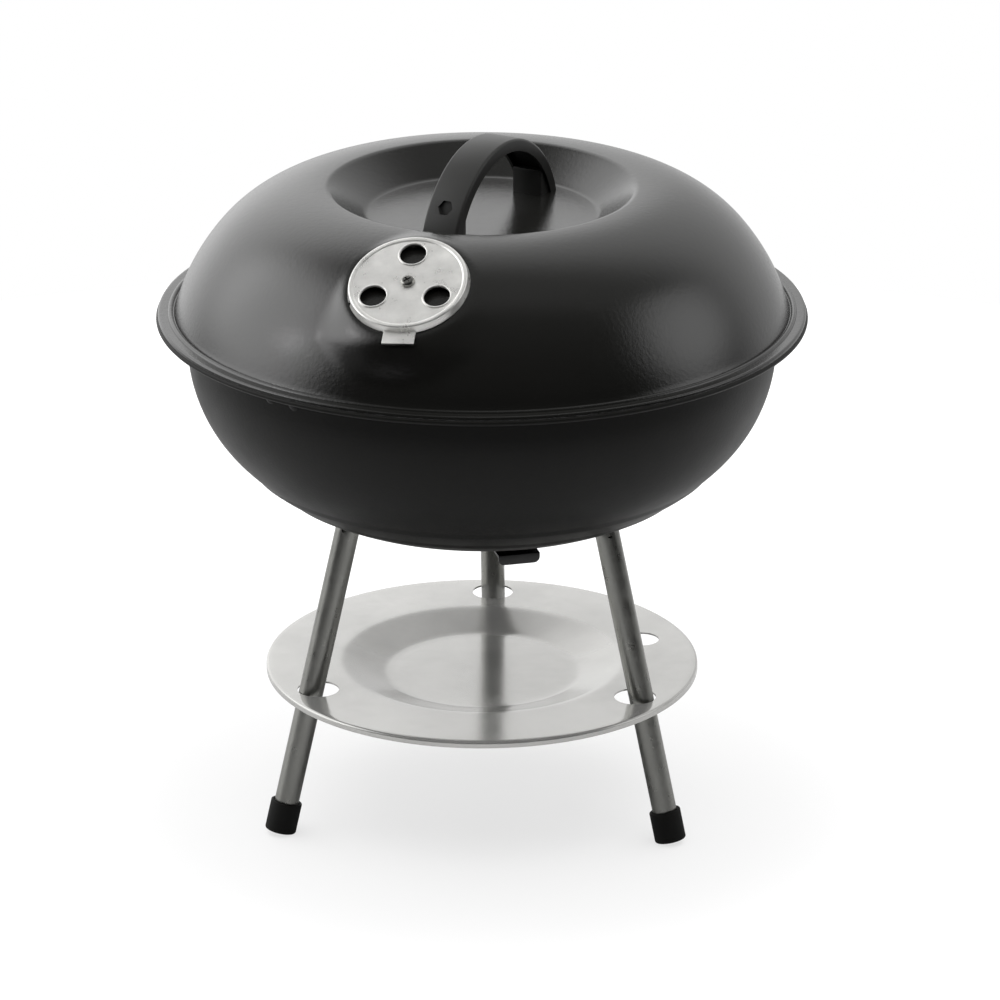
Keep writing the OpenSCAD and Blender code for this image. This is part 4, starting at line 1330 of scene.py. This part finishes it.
class GRILL_OT_stage(GrillStep):
    """Adds the pale floor, the soft studio light and the camera"""
    bl_idname = "grill.add_stage"
    bl_label = "Stage"
    floor_r = 0.95
    # direction, spread in degrees and brightness of each soft glow in the room
    glows = (
        ((-0.9, 0.08, 0.42), 40, 1.9),
        ((0.914, 0.061, 0.401), 26, 1.0),
        ((-0.884, -0.17, 0.43), 2.6, 9.0),
        ((-0.5, 0.8, 0.3), 42, 0.7),
    )

    def light(self, name, place_at, aim, size_x, size_y, power):
        """A rectangular soft light that looks at a point."""
        data = bpy.data.lights.new(name, "AREA")
        data.shape = "RECTANGLE"
        data.size = size_x
        data.size_y = size_y
        data.energy = power
        obj = bpy.data.objects.new(name, data)
        obj.location = place_at
        obj.rotation_euler = (Vector(aim) - Vector(place_at)).to_track_quat("-Z", "Y").to_euler()
        bpy.context.scene.collection.objects.link(obj)
        return obj

    def floor(self):
        """A round floor, grey in the object's reflections and pale to the camera, with a painted
        soft shadow: its glow to the camera is dimmer under the object.
        """
        p = Paint("pale_floor", Roughness=0.9, Metallic=0.0)
        seen = p.node("ShaderNodeLightPath").outputs["Is Camera Ray"]
        mirrored, bare = (0.36,) * 3, (0.15,) * 3
        p.feed("Base Color", p.tint(seen, mirrored, bare))
        where = p.node("ShaderNodeTexCoord").outputs["Object"]
        away = p.node("ShaderNodeVectorMath", {0: where}, operation="LENGTH").outputs["Value"]
        # Painted shadow: the glow the camera sees rises from 0.70 in the middle to full 1.0 from
        # 0.46 m out, a soft shadow painted under the object.
        painted_shadow_glow = p.node("ShaderNodeMapRange", {0: away, 1: 0.16, 2: 0.46, 3: 0.70, 4: 1.0},
                      interpolation_type="SMOOTHSTEP").outputs[0]
        p.feed("Emission Strength", p.math("MULTIPLY", painted_shadow_glow, seen))
        p.shader.inputs["Emission Color"].default_value = (1, 1, 1, 1)
        bm = bmesh.new()
        bmesh.ops.create_circle(bm, cap_ends=True, segments=128, radius=self.floor_r)
        floor = from_bmesh("floor", bm)
        paint(floor, p.material)

    def room(self):
        """A white room that is dark in front of the object, with soft glows at its sides."""
        world = bpy.data.worlds.new("studio")
        world.use_nodes = True
        bpy.context.scene.world = world
        w = Wiring(world.node_tree, grouped=False)
        sky = world.node_tree.nodes["Background"]
        ray = w.node("ShaderNodeTexCoord").outputs["Generated"]
        parts = w.node("ShaderNodeSeparateXYZ", {0: ray})

        def step(value, low, high, level):
            """A soft step up to a level."""
            made = w.node("ShaderNodeMapRange", {0: value, 1: low, 2: high, 3: 0.0, 4: level},
                          interpolation_type="SMOOTHSTEP")
            return made.outputs[0]

        slanted = w.math("SUBTRACT", parts.outputs[1], w.math("MULTIPLY", parts.outputs[0], 0.227))
        total = w.math("ADD", step(slanted, -0.46, -0.2, 0.13),
                       step(parts.outputs[1], 0.15, 0.75, 0.58))
        total = w.math("ADD", total, 0.012)
        for aim, spread, level in self.glows:
            towards = w.node("ShaderNodeVectorMath", {0: ray, 1: Vector(aim).normalized()},
                             operation="DOT_PRODUCT").outputs["Value"]
            total = w.math("ADD", total, step(towards, math.cos(math.radians(spread)), 1.0, level))
        seen = w.node("ShaderNodeLightPath").outputs["Is Camera Ray"]
        w.tree.links.new(w.math("MAXIMUM", total, seen), sky.inputs["Strength"])
        sky.inputs["Color"].default_value = (1, 1, 1, 1)

    def camera(self):
        """A long lens, a little above the object and a little to its right."""
        aim = Vector((0, 0, BOWL_HIGH.z - 109.2 * MM))
        turn, rise, distance = math.radians(3.5), math.radians(20.7), 3.5
        view = Vector((math.sin(turn) * math.cos(rise), -math.cos(turn) * math.cos(rise),
                       math.sin(rise)))
        data = bpy.data.cameras.new("camera")
        sensor, zoom = 36, 1.741
        data.sensor_width = sensor
        data.lens = zoom * distance * sensor
        data.shift_x = 0.018
        data.shift_y = -0.010
        data.clip_end = 100
        obj = bpy.data.objects.new("camera", data)
        obj.location = aim + view * distance
        obj.rotation_euler = (-view).to_track_quat("-Z", "Y").to_euler()
        bpy.context.scene.collection.objects.link(obj)
        bpy.context.scene.camera = obj

    def build(self):
        self.floor()
        self.room()
        top = self.light("top_light", (0, 0.1, 2.6), (0, 0, 0), 4.5, 4.5, 270)
        top.visible_glossy = False
        self.camera()
        bpy.context.scene.view_settings.view_transform = "Standard"


STEPS = (
    GRILL_OT_stage, GRILL_OT_bowl, GRILL_OT_grate_brackets, GRILL_OT_grates, GRILL_OT_bowl_damper,
    GRILL_OT_lid, GRILL_OT_lid_handle, GRILL_OT_lid_damper, GRILL_OT_lid_fasteners,
    GRILL_OT_legs, GRILL_OT_feet, GRILL_OT_ash_plate,
)


class GRILL_PT_panel(bpy.types.Panel):
    """Lists the sizes and the steps in the sidebar"""
    bl_idname = "GRILL_PT_panel"
    bl_label = "Kettle Grill"
    bl_space_type = "VIEW_3D"
    bl_region_type = "UI"
    bl_category = "Grill"

    def draw(self, context):
        for name in GROUPS:
            box = self.layout.box()
            group = getattr(context.scene, name)
            for key in type(group).__annotations__:
                box.prop(group, key)
        for step in STEPS:
            self.layout.operator(step.bl_idname)


def register():
    """Registers the groups, the steps and the panel."""
    for name, group in GROUPS.items():
        bpy.utils.register_class(group)
        setattr(bpy.types.Scene, name, bpy.props.PointerProperty(type=group))
    for step in (*STEPS, GRILL_PT_panel):
        bpy.utils.register_class(step)


def unregister():
    """Takes everything away again."""
    for step in (GRILL_PT_panel, *reversed(STEPS)):
        bpy.utils.unregister_class(step)
    for name, group in GROUPS.items():
        delattr(bpy.types.Scene, name)
        bpy.utils.unregister_class(group)


def main():
    """Builds the stage and every piece."""
    register()
    for step in STEPS:
        family, name = step.bl_idname.split(".")
        getattr(getattr(bpy.ops, family), name)()


if __name__ == "__main__":
    main()
